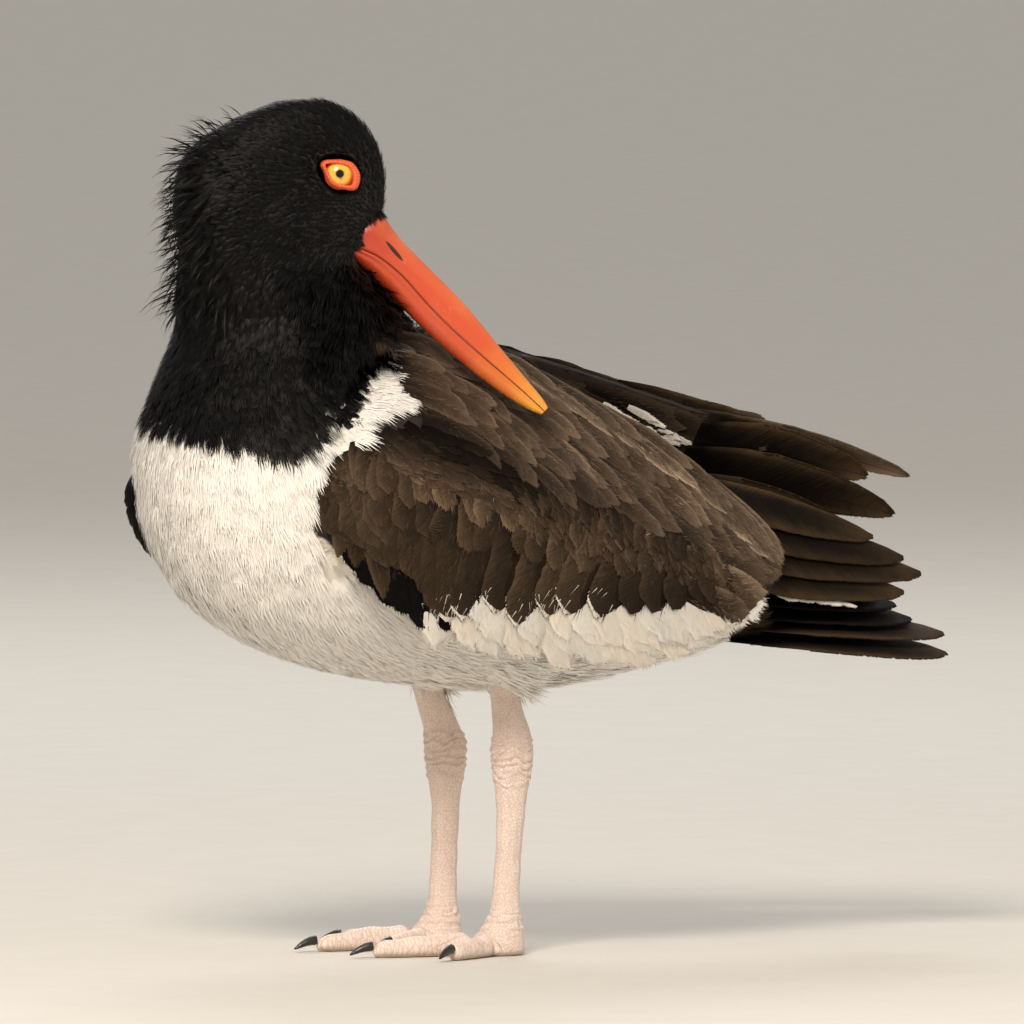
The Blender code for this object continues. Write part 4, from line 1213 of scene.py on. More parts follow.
# Each row runs from the bend of the wing backwards. roots and tips are places on the wing (share along,
# share down) that the row's feathers are spread between; lift is how far the roots and the tips stand out
# from the solids' surface in mm, and bow how far a feather curves sideways.
wingFeathers = {
    "secondaryUnder": {
        "roots": ((0.20, 0.90), (0.30, 0.86), (0.47, 0.83), (0.66, 0.79), (0.77, 0.74)),
        "tips": ((0.36, 1.0), (0.53, 1.035), (0.72, 1.05), (0.86, 1.04), (0.915, 0.99)),
        "count": 26, "width": 15.0, "lift": (-1.8, -0.6), "tone": "white", "split": 0.5, "bow": 0.08,
        "stray": 2.6, "point": 0.8,
    },
    "secondary": {
        "roots": ((0.23, 0.86), (0.33, 0.78), (0.49, 0.75), (0.64, 0.65), (0.75, 0.56)),
        "tips": ((0.38, 0.965), (0.54, 0.97), (0.72, 0.98), (0.85, 0.97), (0.90, 0.95)),
        "count": 24, "width": 15.0, "lift": (-1.7, -0.3), "tone": "white", "split": 0.5, "bow": 0.08,
        "stray": 3.2, "point": 0.8,
    },
    "darkUnder": {
        "roots": ((0.10, 0.74), (0.15, 0.72), (0.20, 0.72), (0.25, 0.72)),
        "tips": ((0.17, 0.955), (0.22, 0.985), (0.28, 0.995), (0.335, 0.985)),
        "count": 6, "width": 12.0, "lift": (-1.5, -0.6), "tone": "black", "fringe": 0.0, "bow": -0.02,
    },
    "greaterUnder": {
        "roots": ((0.08, 0.62), (0.235, 0.56), (0.45, 0.52), (0.62, 0.48), (0.76, 0.42), (0.86, 0.40)),
        "tips": ((0.16, 0.82), (0.30, 0.86), (0.44, 0.84), (0.60, 0.80), (0.75, 0.75), (0.86, 0.72)),
        "count": 26, "width": 15.5, "lift": (-1.6, -0.45), "tone": "brown", "fringe": 0.1, "level": 0.5,
    },
    "greater": {
        "roots": (
            (0.04, 0.62), (0.13, 0.60), (0.22, 0.57), (0.27, 0.55), (0.45, 0.52), (0.62, 0.48), (0.76, 0.42),
            (0.86, 0.40)
        ),
        "tips": (
            (0.105, 0.89), (0.18, 0.88), (0.25, 0.865), (0.32, 0.965), (0.44, 0.885), (0.59, 0.85),
            (0.74, 0.79), (0.86, 0.76)
        ),
        "count": 24, "width": 18.0, "lift": (-1.4, 0.0), "tone": "brown", "fringe": 0.4, "whiteTip": 1.0,
        "tipShade": 0.7, "point": 0.76, "stray": 1.4, "barbs": 0.35,
    },
    "tertials": {
        "roots": ((0.66, 0.66), (0.62, 0.52), (0.60, 0.40), (0.56, 0.29), (0.52, 0.20), (0.46, 0.13)),
        "tips": ((0.90, 0.93), (0.93, 0.84), (0.945, 0.62), (0.94, 0.38), (0.91, 0.22), (0.83, 0.14)),
        "count": 9, "width": 15.0, "lift": (-1.0, 0.3), "tone": "tertial", "fringe": 0.75, "bow": 0.035,
        "upward": True,
    },
    "plumes": {
        "roots": ((0.28, 0.05), (0.40, 0.05), (0.52, 0.06), (0.62, 0.08), (0.70, 0.10)),
        "tips": ((0.50, 0.13), (0.62, 0.15), (0.74, 0.18), (0.85, 0.24), (0.93, 0.34)),
        "count": 9, "width": 9.0, "lift": (-0.6, 0.9), "tone": "plume", "fringe": 0.95, "bow": 0.03,
        "split": 0.5,
    },
    "alula": {
        "roots": ((0.005, 0.73), (0.02, 0.79), (0.05, 0.82), (0.075, 0.80)),
        "tips": ((0.035, 0.90), (0.07, 0.99), (0.13, 0.965), (0.205, 0.985)),
        "count": 5, "width": 7.5, "lift": (-0.9, 0.5), "tone": "brown", "fringe": 0.9, "bow": 0.03,
        "level": 0.75,
    },
    "median1": {
        "roots": ((0.0, 0.57), (0.09, 0.55), (0.25, 0.50), (0.50, 0.46), (0.75, 0.38), (0.83, 0.36)),
        "tips": ((0.04, 0.80), (0.14, 0.82), (0.27, 0.745), (0.48, 0.69), (0.73, 0.62), (0.84, 0.60)),
        "count": 30, "width": 11.5, "lift": (-1.2, 0.2), "tone": "brown", "fringe": 0.6, "tipShade": 0.85,
        "stray": 2.2, "point": 0.7,
    },
    "median2": {
        "roots": ((0.0, 0.50), (0.09, 0.47), (0.25, 0.44), (0.50, 0.41), (0.75, 0.33), (0.81, 0.31)),
        "tips": ((0.035, 0.68), (0.12, 0.69), (0.28, 0.64), (0.485, 0.60), (0.73, 0.52), (0.82, 0.50)),
        "count": 34, "width": 9.8, "lift": (-1.1, 0.3), "tone": "brown", "fringe": 0.6, "tipShade": 0.9,
        "stray": 2.4, "point": 0.7,
    },
}
# Rows of small feathers: share down of the first and the last row, then millimetres. wingLength is what one
# share along the wing measures there.
lesserRows = {
    "first": 0.37, "last": 0.50, "rows": 6, "spacing": 4.2, "length": 14.0, "width": 6.4, "wingLength": 175,
    "begin": -0.01, "end": 0.84,
}
scapularRows = {
    "first": 0.05, "last": 0.345, "rows": 10, "spacing": 7.0, "length": (17.0, 46.0), "width": (6.5, 10.5),
    "wingLength": 170, "begin": 0.10, "end": 0.80,
}
innerRows = {
    "first": 0.38, "between": 0.06, "rows": 6, "length": (34, 46), "foreLength": 24, "width": (11, 14),
    "wingLength": 195, "begin": 0.16, "end": 0.86,
}

tones = {
    # middle of the vane, its edge, and its white
    "brown": ("#34291E", "#614F3D"),
    "tertial": ("#33271D", "#84705A"),
    "scapular": ("#3B2F25", "#86715D"),
    "plume": ("#382C22", "#9C8870"),
    "lesser": ("#30261D", "#594838"),
    "black": ("#0A0807", "#1A1512"),
    "primary": ("#0D0A08", "#57452F"),
    # the far wing's inner face: near black, partly the underside's own dark and partly painted shade
    "inner": ("#0D0B09", "#4A3D31"),
    "tail": ("#0A0807", "#44362A"),
    # a greyed white: painted shade on the wing bar, which faces down away from the light; the flecks and hems
    # share it
    "white": ("#CFC8BC", "#E2DCD1"),
}


def vaneMaterial():
    # Close-knit barbs of flight feathers and coverts: satin, with a pale shaft and worn, paler edges
    material, tree, shader = newMaterial("knitBarbs", 0.6, Specular_IOR_Level=0.05)
    place = readUv(tree, "vaneMm")
    parts = addNode(tree, "ShaderNodeSeparateXYZ", links={0: place}).outputs
    out = mathNode(tree, "ABSOLUTE", parts[0])
    # the barbs slant from the shaft towards the tip
    slanted = {"X": times(tree, out, 0.12), "Y": minus(tree, parts[1], out)}
    slanted = addNode(tree, "ShaderNodeCombineXYZ", links=slanted).outputs[0]
    barbs = noiseNode(tree, slanted, 1.0, 4.0, 0.65, stretch=(0.5, 2.2, 1))
    broad = noiseNode(tree, place, 0.22, 3.0)
    middle, edge = readAttribute(tree, "tone", "Color"), readAttribute(tree, "edgeTone", "Color")
    fringe = plus(tree, readAttribute(tree, "fringe"), scaled(tree, barbs, 0.5, -0.25), clamp=True)
    colour = mixColour(tree, fringe, middle, edge)
    whiteness = plus(tree, readAttribute(tree, "whiteTip"), scaled(tree, barbs, 0.6, -0.3), clamp=True)
    colour = mixColour(tree, mathNode(tree, "GREATER_THAN", whiteness, 0.5), colour, "#E4DDD0")
    uneven = plus(tree, scaled(tree, barbs, 1.5, -0.75), scaled(tree, broad, 0.6, -0.3))
    shade = scaled(tree, uneven, readAttribute(tree, "streak"), 1.0)
    colour = shaded(tree, colour, times(tree, shade, readAttribute(tree, "shade")))
    shaft = mathNode(tree, "LESS_THAN", out, readAttribute(tree, "shaft"))
    colour = mixColour(tree, times(tree, shaft, 0.45), colour, "#120D0A")
    tree.links.new(colour, shader.inputs["Base Color"])
    addBump(tree, shader, barbs, 0.00022, 0.7)
    return material


wingEnd = 0.975  # no feather of the folded wing reaches further along it, but for the primaries
# painted light and shade on the wing's brown, by the share down: palest over the middle coverts, where the
# light falls most, and darkest below the wedge, a painted shadow under the scapulars
wingLightLevels = (
    (0.0, 1.0), (0.34, 0.95), (0.40, 0.4), (0.47, 0.55), (0.54, 1.15), (0.63, 1.2), (0.72, 0.8), (0.80, 0.75),
    (1.0, 0.7),
)
# how far down the white of the neck's side reaches over the front of a wing, by the share along
whiteEdges = (
    (0, 0.80), (0.015, 0.74), (0.03, 0.66), (0.045, 0.58), (0.075, 0.48), (0.115, 0.42), (0.16, 0.38),
    (0.161, 0),
)


def wingLightAndTone(along, down):
    level = np.interp(down, *zip(*wingLightLevels))
    # towards the wing's rear the painted levels are flattened and made a fifth darker; the noise patches are
    # the brown's own uneven tone
    fore = float(smoothStep(0.75, 0.4, along))
    broad = noise.noise(Vector((along * 9, down * 6, 2.0)))
    patches = broad + 0.6 * noise.noise(Vector((along * 24, down * 15, 7.0)))
    return (level * fore + (0.55 + 0.45 * level) * 0.8 * (1 - fore)) * (1 + 0.5 * patches)


def newVanes():  # what a piece made of vanes is gathered in, with its own random draws
    keys = (
        "points", "faces", "tone", "edgeTone", "fringe", "whiteTip", "shade", "streak", "shaft", "mm", "cell"
    )
    return {key: [] for key in keys} | {"number": 0, "loose": [], "rng": np.random.default_rng(11)}


def travelled(points):  # the way from the first point to each of them
    return np.concatenate([[0], np.cumsum(np.linalg.norm(np.diff(points, axis=0), axis=1))])


def addBarbs(store, grid, normal, length, rng):
    # Loose barbs along the outer part of a vane's edge, each one thin triangle
    first = int(len(grid) * 0.35)
    edge = np.concatenate([grid[first:, 0], grid[-1, 1:-1], grid[first:, -1][::-1]])
    atTip = np.tile(normal[-1], (grid.shape[1] - 2, 1))
    faceNormals = np.concatenate([normal[first:], atTip, normal[first:][::-1]])
    tangent = unit(np.gradient(grid[:, grid.shape[1] // 2], axis=0))[-3]
    way = travelled(edge)
    count = max(int(way[-1] / 0.5), 4)
    place = np.sort(rng.uniform(0, way[-1], count))

    def readAt(places, rows):
        return np.stack([np.interp(places, way, rows[:, k]) for k in range(3)], 1)

    base = readAt(place, edge)
    normals = unit(readAt(place, faceNormals))
    run = unit(readAt(place + 0.3, edge) - base + 1e-6)
    outwardness = unit(np.cross(run, normals))
    middle = grid[len(grid) // 2, grid.shape[1] // 2]
    outwardness *= np.sign(((base - middle) * outwardness).sum(1) + 1e-9)[:, None]
    forward = tangent * rng.uniform(0.7, 1.2, (count, 1))
    reach = unit(forward + outwardness * rng.uniform(0.15, 0.6, (count, 1)))
    reach = reach - normals * rng.uniform(0.0, 0.22, (count, 1))
    size = length * rng.uniform(0.35, 1.0, (count, 1))
    size = size * (0.6 + 0.4 * np.sin(place / way[-1] * math.pi))[:, None]
    inner = base - reach * 0.35
    half = run * rng.uniform(0.16, 0.34, (count, 1))
    points = np.stack([inner - half, inner + half, base + reach * size], 1)
    turn = np.cross(points[:, 1] - points[:, 0], points[:, 2] - points[:, 0])
    back = (turn * normals).sum(1) < 0
    points[back] = points[back][:, [1, 0, 2]]
    store["loose"].append(points.reshape(-1, 3))


def addStreaks(store, grid, normal, length, rng, count):
    # Fine barbs that stand a little off a vane's face, so that it looks combed
    rows, columns = grid.shape[:2]
    row = rng.uniform(0.3, 0.93, count) * (rows - 1)
    column = rng.uniform(0.08, 0.92, count) * (columns - 1)
    low, side = row.astype(int), column.astype(int)
    base = grid[low, side] + (grid[low + 1, side] - grid[low, side]) * (row - low)[:, None]
    base = base + (grid[low, side + 1] - grid[low, side]) * (column - side)[:, None]
    forward = unit(grid[low + 1, side] - grid[low, side])
    sideways = unit(grid[low, side + 1] - grid[low, side] + 1e-9)
    lean = np.sign(column / (columns - 1) - 0.5)[:, None] * rng.uniform(0.1, 0.5, (count, 1))
    reach = unit(forward + sideways * lean)
    faces = normal[low]
    half = unit(np.cross(faces, reach)) * rng.uniform(0.09, 0.2, (count, 1))
    tip = base + reach * length * rng.uniform(0.5, 1.0, (count, 1))
    tip = tip + faces * rng.uniform(0.05, 0.28, (count, 1))
    base = base + faces * 0.04
    store["loose"].append(np.stack([base + half, tip, base - half], 1).reshape(-1, 3))


def keep(store, **values):  # adds an array under each of these names
    for key, value in values.items():
        store[key].append(value)


def addVane(store, spine, normal, width, tone, **look):
    # spine and normal are rows of points and directions from the root to the tip
    rng = store["rng"]
    rows, columns = len(spine), look.get("columns", 5)
    pale = tone == "white"
    share = np.linspace(0, 1, rows)
    across = np.linspace(-1, 1, columns)
    tangent = unit(np.gradient(spine, axis=0))
    sideways = unit(np.cross(normal, tangent))
    begins = look.get("point", 0.62)  # from where the vane narrows to its tip
    narrowing = np.clip((share - begins) / (1 - begins), 0, 1) ** look.get("blunt", 2.2)
    outline = 0.62 + 0.38 * np.sin(np.clip(share / 0.5, 0, 1) * math.pi / 2)
    outline = outline * np.sqrt(np.clip(1 - narrowing, 0.012, 1))
    half = width / 2 * outline
    lean = look.get("lean", 0.0)  # a leading vane that is narrower than the trailing one
    split, roll, combed = look.get("split", 0.25), look.get("roll", 0.035), look.get("combed", 1.0)
    wear = 1 + split * rng.uniform(-0.32, 0.06, (rows, 2)) * (share[:, None] > 0.25)
    reach = across[None, :] * half[:, None]
    reach = reach * np.where(across[None, :] < 0, wear[:, :1] * (1 + lean), wear[:, 1:] * (1 - lean))
    rise = look.get("camber", 0.055) * width * (0.7 - across[None, :] ** 2) + roll * width * across[None, :]
    grid = spine[:, None] + sideways[:, None] * reach[..., None] + normal[:, None] * rise[..., None]
    tipJitter = rng.uniform(-0.5, 0.5, columns) * split * width * 0.18
    grid[-1] += tangent[-1] * tipJitter[:, None]
    barbs = look.get("barbs", 1.0)
    if barbs:
        length = barbs * (1.7 if pale else 1.0) * (0.5 + 0.075 * width)
        addBarbs(store, grid, normal, length, rng)
    if combed:
        count = int(combed * width * np.linalg.norm(spine[-1] - spine[0]) * 0.13)
        addStreaks(store, grid, normal, 1.8 + 0.2 * width, rng, count)

    # the vane's own tint, paler towards its worn edges
    count = rows * columns
    tint = look.get("level", 1.0) * (1 + look.get("tint", 0.16) * rng.uniform(-1, 1))
    warm = 1 + 0.05 * rng.uniform(-1, 1)
    middleTone, edgeTone = (np.array(linear(text)) for text in tones[tone])
    middleTone = middleTone * (tint * warm, tint, tint / warm, 1)
    edgeTone = edgeTone * (tint, tint, tint, 1)
    fringe, whiteTip, tipShade = look.get("fringe", 0.4), look.get("whiteTip", 0.0), look.get("tipShade", 1.0)
    edge = np.maximum(np.abs(across)[None, :] ** 3 * (share[:, None] > 0.1), share[:, None] ** 6)
    tip = smoothStep(0.95, 1.0, share[:, None] + 0.09 * across[None, :] ** 2)
    deep = 0.9 if pale else 0.42  # shade at the root, which lies under the next feathers
    shade = deep + (1 - deep) * smoothStep(0.15, look.get("open", 0.7), share)
    shade = shade * (1 + (tipShade - 1) * smoothStep(0.45, 0.95, share))
    # painted light and shade across each vane: the raised side, which lies on top, is lighter, and the side
    # the next feather covers is darker
    slope = look.get("slope", 0.22) * (0.25 if pale else 1.0) * math.copysign(1, roll)
    shaft = look.get("shaft", 0.0 if pale else 0.16)
    # places in mm for the barbs' pattern, and places in the feather's cell of the baked textures
    offset = rng.uniform(0, 400)
    mmPlace = np.stack([reach, np.repeat(travelled(spine)[:, None] + offset, columns, 1)], -1)
    cell = np.stack([np.tile(across * 0.5 + 0.5, (rows, 1)), np.repeat(share[:, None], columns, 1)], -1)
    store["faces"] += gridFaces(rows, columns, False, store["number"])
    store["number"] += count
    keep(
        store, points=grid.reshape(-1, 3), tone=np.tile(middleTone, (count, 1)),
        edgeTone=np.tile(edgeTone, (count, 1)), fringe=(edge * fringe).ravel(),
        whiteTip=(tip * whiteTip).ravel(), shade=(shade[:, None] * (1 + slope * across[None, :])).ravel(),
        streak=np.full(count, 0.25 if pale else 1.0), shaft=np.repeat(shaft * (1.2 - share), columns),
        mm=mmPlace.reshape(-1, 2), cell=cell.reshape(-1, 2),
    )
    for points in store["loose"]:
        extra, start = len(points), store["number"]
        store["faces"] += [(start + i, start + i + 1, start + i + 2) for i in range(0, extra, 3)]
        store["number"] += extra
        spread = 0.05 if pale else 0.45
        stray = np.repeat(rng.uniform(1 - spread, 1 + spread, (extra // 3, 1)), 3, 0)
        stray = np.hstack([stray, stray, stray, np.ones_like(stray)])
        nearTip = np.linalg.norm(points - spine[-1], axis=1) < width * 0.55
        nearTip = nearTip * whiteTip * (rng.uniform(0, 1, extra // 3).repeat(3) < 0.35)
        corner = ((5.0, offset), (5.3, offset + 0.2), (5.1, offset + 1.0))
        keep(
            store, points=points, tone=middleTone * stray, edgeTone=edgeTone * stray,
            fringe=np.full(extra, fringe), whiteTip=nearTip, shade=np.full(extra, float(tipShade)),
            streak=np.zeros(extra), shaft=np.zeros(extra), mm=np.tile(corner, (extra // 3, 1)),
        )
        store["cell"][-1] = np.concatenate([store["cell"][-1], np.full((extra, 2), 0.5)])
    store["loose"] = []


def finishVanes(name, store, material, thickness=0.0):  # one piece of all the vanes in the store
    mesh = meshFromArrays(name, toMetres(np.concatenate(store["points"])), store["faces"])
    for key in ("tone", "edgeTone"):
        colours = mesh.attributes.new(key, "FLOAT_COLOR", "POINT")
        colours.data.foreach_set("color", np.concatenate(store[key]).ravel())
    for key in ("fringe", "whiteTip", "shade", "streak", "shaft"):
        setAttribute(mesh, key, np.concatenate(store[key]))
    # the feathers' cells side by side in a square, each with a margin
    size = math.ceil(math.sqrt(len(store["cell"])))
    cells = [
        (
            grid * 0.86 + 0.07 + (number % size, number // size)
        ) / size for number, grid in enumerate(store["cell"])
    ]
    cells, corners = np.concatenate(cells), cornerPoints(mesh)
    mesh.uv_layers.new(name="OFBake").data.foreach_set("uv", cells[corners].ravel())
    mesh.uv_layers.new(name="vaneMm").data.foreach_set("uv", np.concatenate(store["mm"])[corners].ravel())
    made = newObject(name, mesh, material)
    if thickness:
        solid = made.modifiers.new("blade", "SOLIDIFY")
        solid.thickness = thickness * mm
        solid.offset = -1
        evaluated(made)
        made.data.shade_smooth()
    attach(made, "root")
    print(name, triangleCount(made.data), "triangles")
    return made


def layFeather(store, side, root, tip, lift, width, tone, inner=False, bow=0.0, rows=9, **look):
    # A feather laid on a wing between two places, or on the wing's inner face
    share = np.linspace(0, 1, rows)
    swing = bow * 4 * share * (1 - share)
    kept = min(1.0, (wingEnd - root[0]) / max(tip[0] - root[0], 1e-3)) if not inner else 1.0
    tip = (root[0] + (tip[0] - root[0]) * kept, root[1] + (tip[1] - root[1]) * kept)
    along = root[0] + (tip[0] - root[0]) * share + swing * 0.3
    down = root[1] + (tip[1] - root[1]) * share - swing
    normal = wingAxes(side, along, down)[2]
    raised = lift[0] + (lift[1] - lift[0]) * share
    spine = onWing(side, along, down) + normal * raised[:, None]
    if inner:
        normal = -normal
    if side == "right" and "roll" in look:
        look["roll"] = -look["roll"]
    # painted light and shade over the wing, with patches of the brown's own tone
    if tone != "white" and not inner:
        look["level"] = look.get("level", 1.0) * wingLightAndTone(float(along[-2]), float(down[-2]))
    addVane(store, spine, normal, width, tone, **look)


def whiteEdge(along):
    return float(np.interp(along, *zip(*whiteEdges)))


def ribLength(side, along):  # in mm, from the top of the wing to its lower edge
    return float(np.linalg.norm(onWing(side, along, 1.0) - onWing(side, along, 0.0)))


def layRow(store, side, row, rng):
    roots = smoothRows(row["roots"], row["count"])
    tips = smoothRows(row["tips"], row["count"])
    order = 1 if row.get("upward") else -1  # which edge of each feather lies on top
    for number, (root, tip) in enumerate(zip(roots, tips)):
        wander = rng.normal(0, 0.006 * row.get("stray", 1.0), 4)
        root = np.array((root[0], max(root[1], whiteEdge(root[0]) + 0.01)))
        stacked = 0.05 * (number % 2)  # every second feather lies a little higher
        lift = (row["lift"][0] + stacked, row["lift"][1] + stacked + rng.uniform(-0.1, 0.15))
        kinds = ("fringe", "split", "bow", "tipShade", "level", "point", "barbs")
        look = {key: row[key] for key in kinds if key in row}
        look["fringe"] = look.get("fringe", 0.4) * rng.uniform(0.4, 1.3)
        if row["tone"] == "white":
            # white vanes: less tint spread and a stronger painted light and shade across them
            look.update(tint=0.05, slope=0.45)
        if row.get("whiteTip", 0) and 0.30 < tip[0] < 0.60:
            look["whiteTip"] = rng.uniform(0.7, 1.0)
        width = row["width"] * rng.uniform(0.9, 1.12)
        columns, rows = (9, 14) if width > 11 else (5, 8)
        layFeather(
            store, side, root + wander[:2], tip + wander[2:] * (1, 1.6), lift, width, row["tone"],
            roll=0.045 * order, columns=columns, rows=rows, **look,
        )


def layLesser(store, side, rng):
    values = lesserRows
    for row in range(values["rows"]):
        level = values["last"] + (values["first"] - values["last"]) * row / (values["rows"] - 1)
        along = values["begin"] + 0.4 * values["spacing"] / values["wingLength"] * (row % 2)
        while along < values["end"]:
            down = level - 0.10 * max(along - 0.55, 0)
            if down > whiteEdge(along):
                angle = float(wingLie(along, down + 0.04)) + rng.normal(0, 0.12)
                length = values["length"] * rng.uniform(0.85, 1.2)
                forward = length * math.cos(angle) / values["wingLength"]
                reach = (forward, length * math.sin(angle) / ribLength(side, along))
                root = np.array((along, down)) + rng.normal(0, 0.004, 2)
                # the top rows over the front of the wing are painted darker, a painted shadow under the
                # scapulars
                dark = 0.35 if row > 3 and 0.08 < along < 0.40 else 1.0
                lift = (-1.0, 0.35 + 0.06 * row)
                width = values["width"] * rng.uniform(0.85, 1.15)
                layFeather(
                    store, side, root, root + reach, lift, width, "lesser",
                    fringe=rng.uniform(0.1, 0.7), split=0.9, rows=6, roll=-0.03, level=dark,
                )
            along += values["spacing"] * rng.uniform(0.85, 1.15) / values["wingLength"]


def layScapulars(store, side, rng):
    values = scapularRows
    begin, end = values["begin"], values["end"]
    for row in range(values["rows"]):
        level = values["last"] + (values["first"] - values["last"]) * row / (values["rows"] - 1)
        along = begin + 0.5 * values["spacing"] / values["wingLength"] * (row % 2)
        while along < end:
            share = (along - begin) / 0.70
            length = values["length"][0] + (values["length"][1] - values["length"][0]) * share**0.8
            width = values["width"][0] + (values["width"][1] - values["width"][0]) * share
            length *= rng.uniform(0.78, 1.2)
            angle = math.radians(26 - 12 * share) * (0.55 + 1.1 * level) + rng.normal(0, 0.09)
            forward = length * math.cos(angle) / values["wingLength"]
            reach = (forward, length * math.sin(angle) / ribLength(side, along))
            middle = np.array([along + 0.01]), np.array([level + 0.01])
            inWedge = insideOutline(*middle, markings["wedge"])[0]
            if not inWedge and not (along < 0.19 and level > 0.26):
                root = np.array((along, level)) + rng.normal(0, 0.006, 2)
                lift = (-1.0 + 0.02 * row, 0.55 + 0.05 * row)
                layFeather(
                    store, side, root, root + reach, lift, width * rng.uniform(0.9, 1.1), "scapular",
                    fringe=(0.3 + 0.65 * share) * rng.uniform(0.6, 1.3), split=0.6, rows=9,
                    bow=rng.uniform(0.0, 0.03), roll=0.045,
                )
            along += values["spacing"] * (0.8 + 0.6 * share) * rng.uniform(0.85, 1.15) / values["wingLength"]


# white feather tips on the far wing's inner face: share along, share down
innerFlecks = (
    (0.60, 0.09), (0.66, 0.09), (0.685, 0.11), (0.70, 0.075), (0.71, 0.13), (0.72, 0.095), (0.735, 0.15),
    (0.745, 0.115), (0.76, 0.17), (0.77, 0.135), (0.785, 0.155), (0.69, 0.14),
)


def layInnerFace(store, rng):  # the far wing's inner face, which shows above the near wing
    values = innerRows
    for row in range(values["rows"]):
        level = values["first"] - values["between"] * row
        along = values["begin"] + 0.03 * (row % 2)
        while along < values["end"]:
            length = rng.uniform(*values["length"]) if along > 0.3 else values["foreLength"]
            angle = rng.normal(0.05, 0.05)
            tip = (
                min(along + length / values["wingLength"], 0.97),
                level + length * math.sin(angle) / ribLength("right", along),
            )
            lift = (-4.4 - 0.03 * row, -5.9 - 0.08 * row)
            layFeather(
                store, "right", (along, level), tip, lift, rng.uniform(*values["width"]), "inner", inner=True,
                fringe=0.5 if row < 5 else 0.9, split=0.25, roll=0.05,
            )
            along += rng.uniform(0.055, 0.085)
    for along, level in innerFlecks:
        tip = (along + rng.uniform(0.04, 0.06), level + rng.uniform(0.02, 0.045))
        layFeather(
            store, "right", (along, level), tip, (-5.9, -7.0), rng.uniform(2.4, 3.8), "white", inner=True,
            fringe=1.0, split=1.0, point=0.3, barbs=0.9, roll=0.05,
        )


# Primaries, tail, and the dark feathers past the breast and behind the neck


# The primaries behind each folded wing lie one on another in a plane that leans out and closes backwards, as
# in the solids: lean is the plane's outward and upward share, start a place on it (along the body, distance
# from the middle), closing how far it comes in per mm, and step the way from blade to blade. Feathers are
# root and tip as (along the body, height), and the width.
primaries = {
    "left": {
        "outward": -1, "lean": (0.8, 0.6), "start": (104, 99.0), "closing": 0.216, "step": 2.1,
        "feathers": (
            ((104, 150), (151, 137.5), 17),
            ((103.5, 142), (163, 130.0), 18),
            ((103, 134.5), (170, 124.5), 18),
            ((103, 127), (161, 118.5), 17),
        ),
    },
    "right": {
        "outward": 1, "lean": (0.87, 0.5), "start": (112, 91.9), "closing": 0.224, "step": 2.1,
        "feathers": (
            ((125, 169.1), (169.5, 157.2), 11),
            ((121.5, 164.5), (154, 157.5), 19),
            ((117.5, 155.5), (165.5, 144.0), 20),
            ((113, 146), (155, 135.0), 20),
        ),
    },
}
tail = {
    "root": 93.5, "rootOut": 9.0, "width": 20.0, "slope": 0.4,
    # of each pair the height of the roots, the length, the sideways place and height of the tips, the tone
    "pairs": (
        # the two lowest pairs keep the tail's brown edges, partly their own colour and partly painted
        # sunlight; the three above are black, a painted shadow of the wing on the tail
        (105.5, 79.5, 21.0, 97.5, "tail"),
        (110.0, 82.0, 14.5, 104.0, "tail"),
        (114.0, 72.0, 9.5, 109.0, "black"),
        (118.5, 69.0, 5.5, 114.0, "black"),
        (122.5, 62.0, 2.5, 118.5, "black"),
    ),
}
# dark coverts at the bend of the far wing: roots and tips as (along the body, height), then how far out from
# the middle, and the width
farBend = (
    ((-98, 164), (-97, 148), 47, 9),
    ((-97, 152), (-94, 134), 48, 9),
    ((-102, 164), (-102, 149), 45, 9),
    ((-101, 153), (-99, 136), 46, 9),
    ((-107, 163), (-110.0, 151), 41, 6),
    ((-106, 161), (-107.0, 144), 42, 9),
    ((-105, 156), (-104.0, 139), 43, 9),
    ((-103, 151), (-100.5, 135), 44, 8),
)
# dark feathers between the neck and the back, in the same way: black, partly the hindneck's own black and
# partly painted shade in the deep shadow behind the neck
mantleTufts = (
    ((-37, 213.5), (-25.5, 214), -7, 6.5),
    ((-36, 210), (-25, 211), -5, 6.5),
)


def bladeVane(store, root, tip, width, faceNormal, rows=16, sag=1.2, **look):  # a vane between two points
    share = np.linspace(0, 1, rows)[:, None]
    root, tip, faceNormal = (np.array(v, float) for v in (root, tip, faceNormal))
    spine = root + (tip - root) * share + unit(faceNormal) * sag * 4 * share * (1 - share)
    tangent = unit(tip - root)
    normal = unit(faceNormal - tangent * faceNormal.dot(tangent))
    addVane(store, spine, np.tile(normal, (rows, 1)), width, columns=9, **look)


def layHem(store, root, tip, width, faceNormal):  # ragged white edges that show below the lowest blade
    root, tip, faceNormal = (np.array(v, float) for v in (root, tip, faceNormal))
    downward = unit(np.cross(faceNormal, tip - root))
    downward = downward * -math.copysign(1, downward[2])
    rng = store["rng"]
    for share in (0.36, 0.43, 0.50, 0.57, 0.64):
        share = share + rng.uniform(-0.02, 0.02)
        reach = width * (0.63 - 0.17 * share)
        start = root + (tip - root) * share + downward * reach * 0.9
        end = root + (tip - root) * (share + 0.10) + downward * reach * 1.06
        bladeVane(
            store, start, end, rng.uniform(1.2, 2.2), faceNormal, rows=6, sag=-0.4, tone="white", split=0.9,
            point=0.3, barbs=0.5, combed=0,
        )


bladeThickness = 0.35


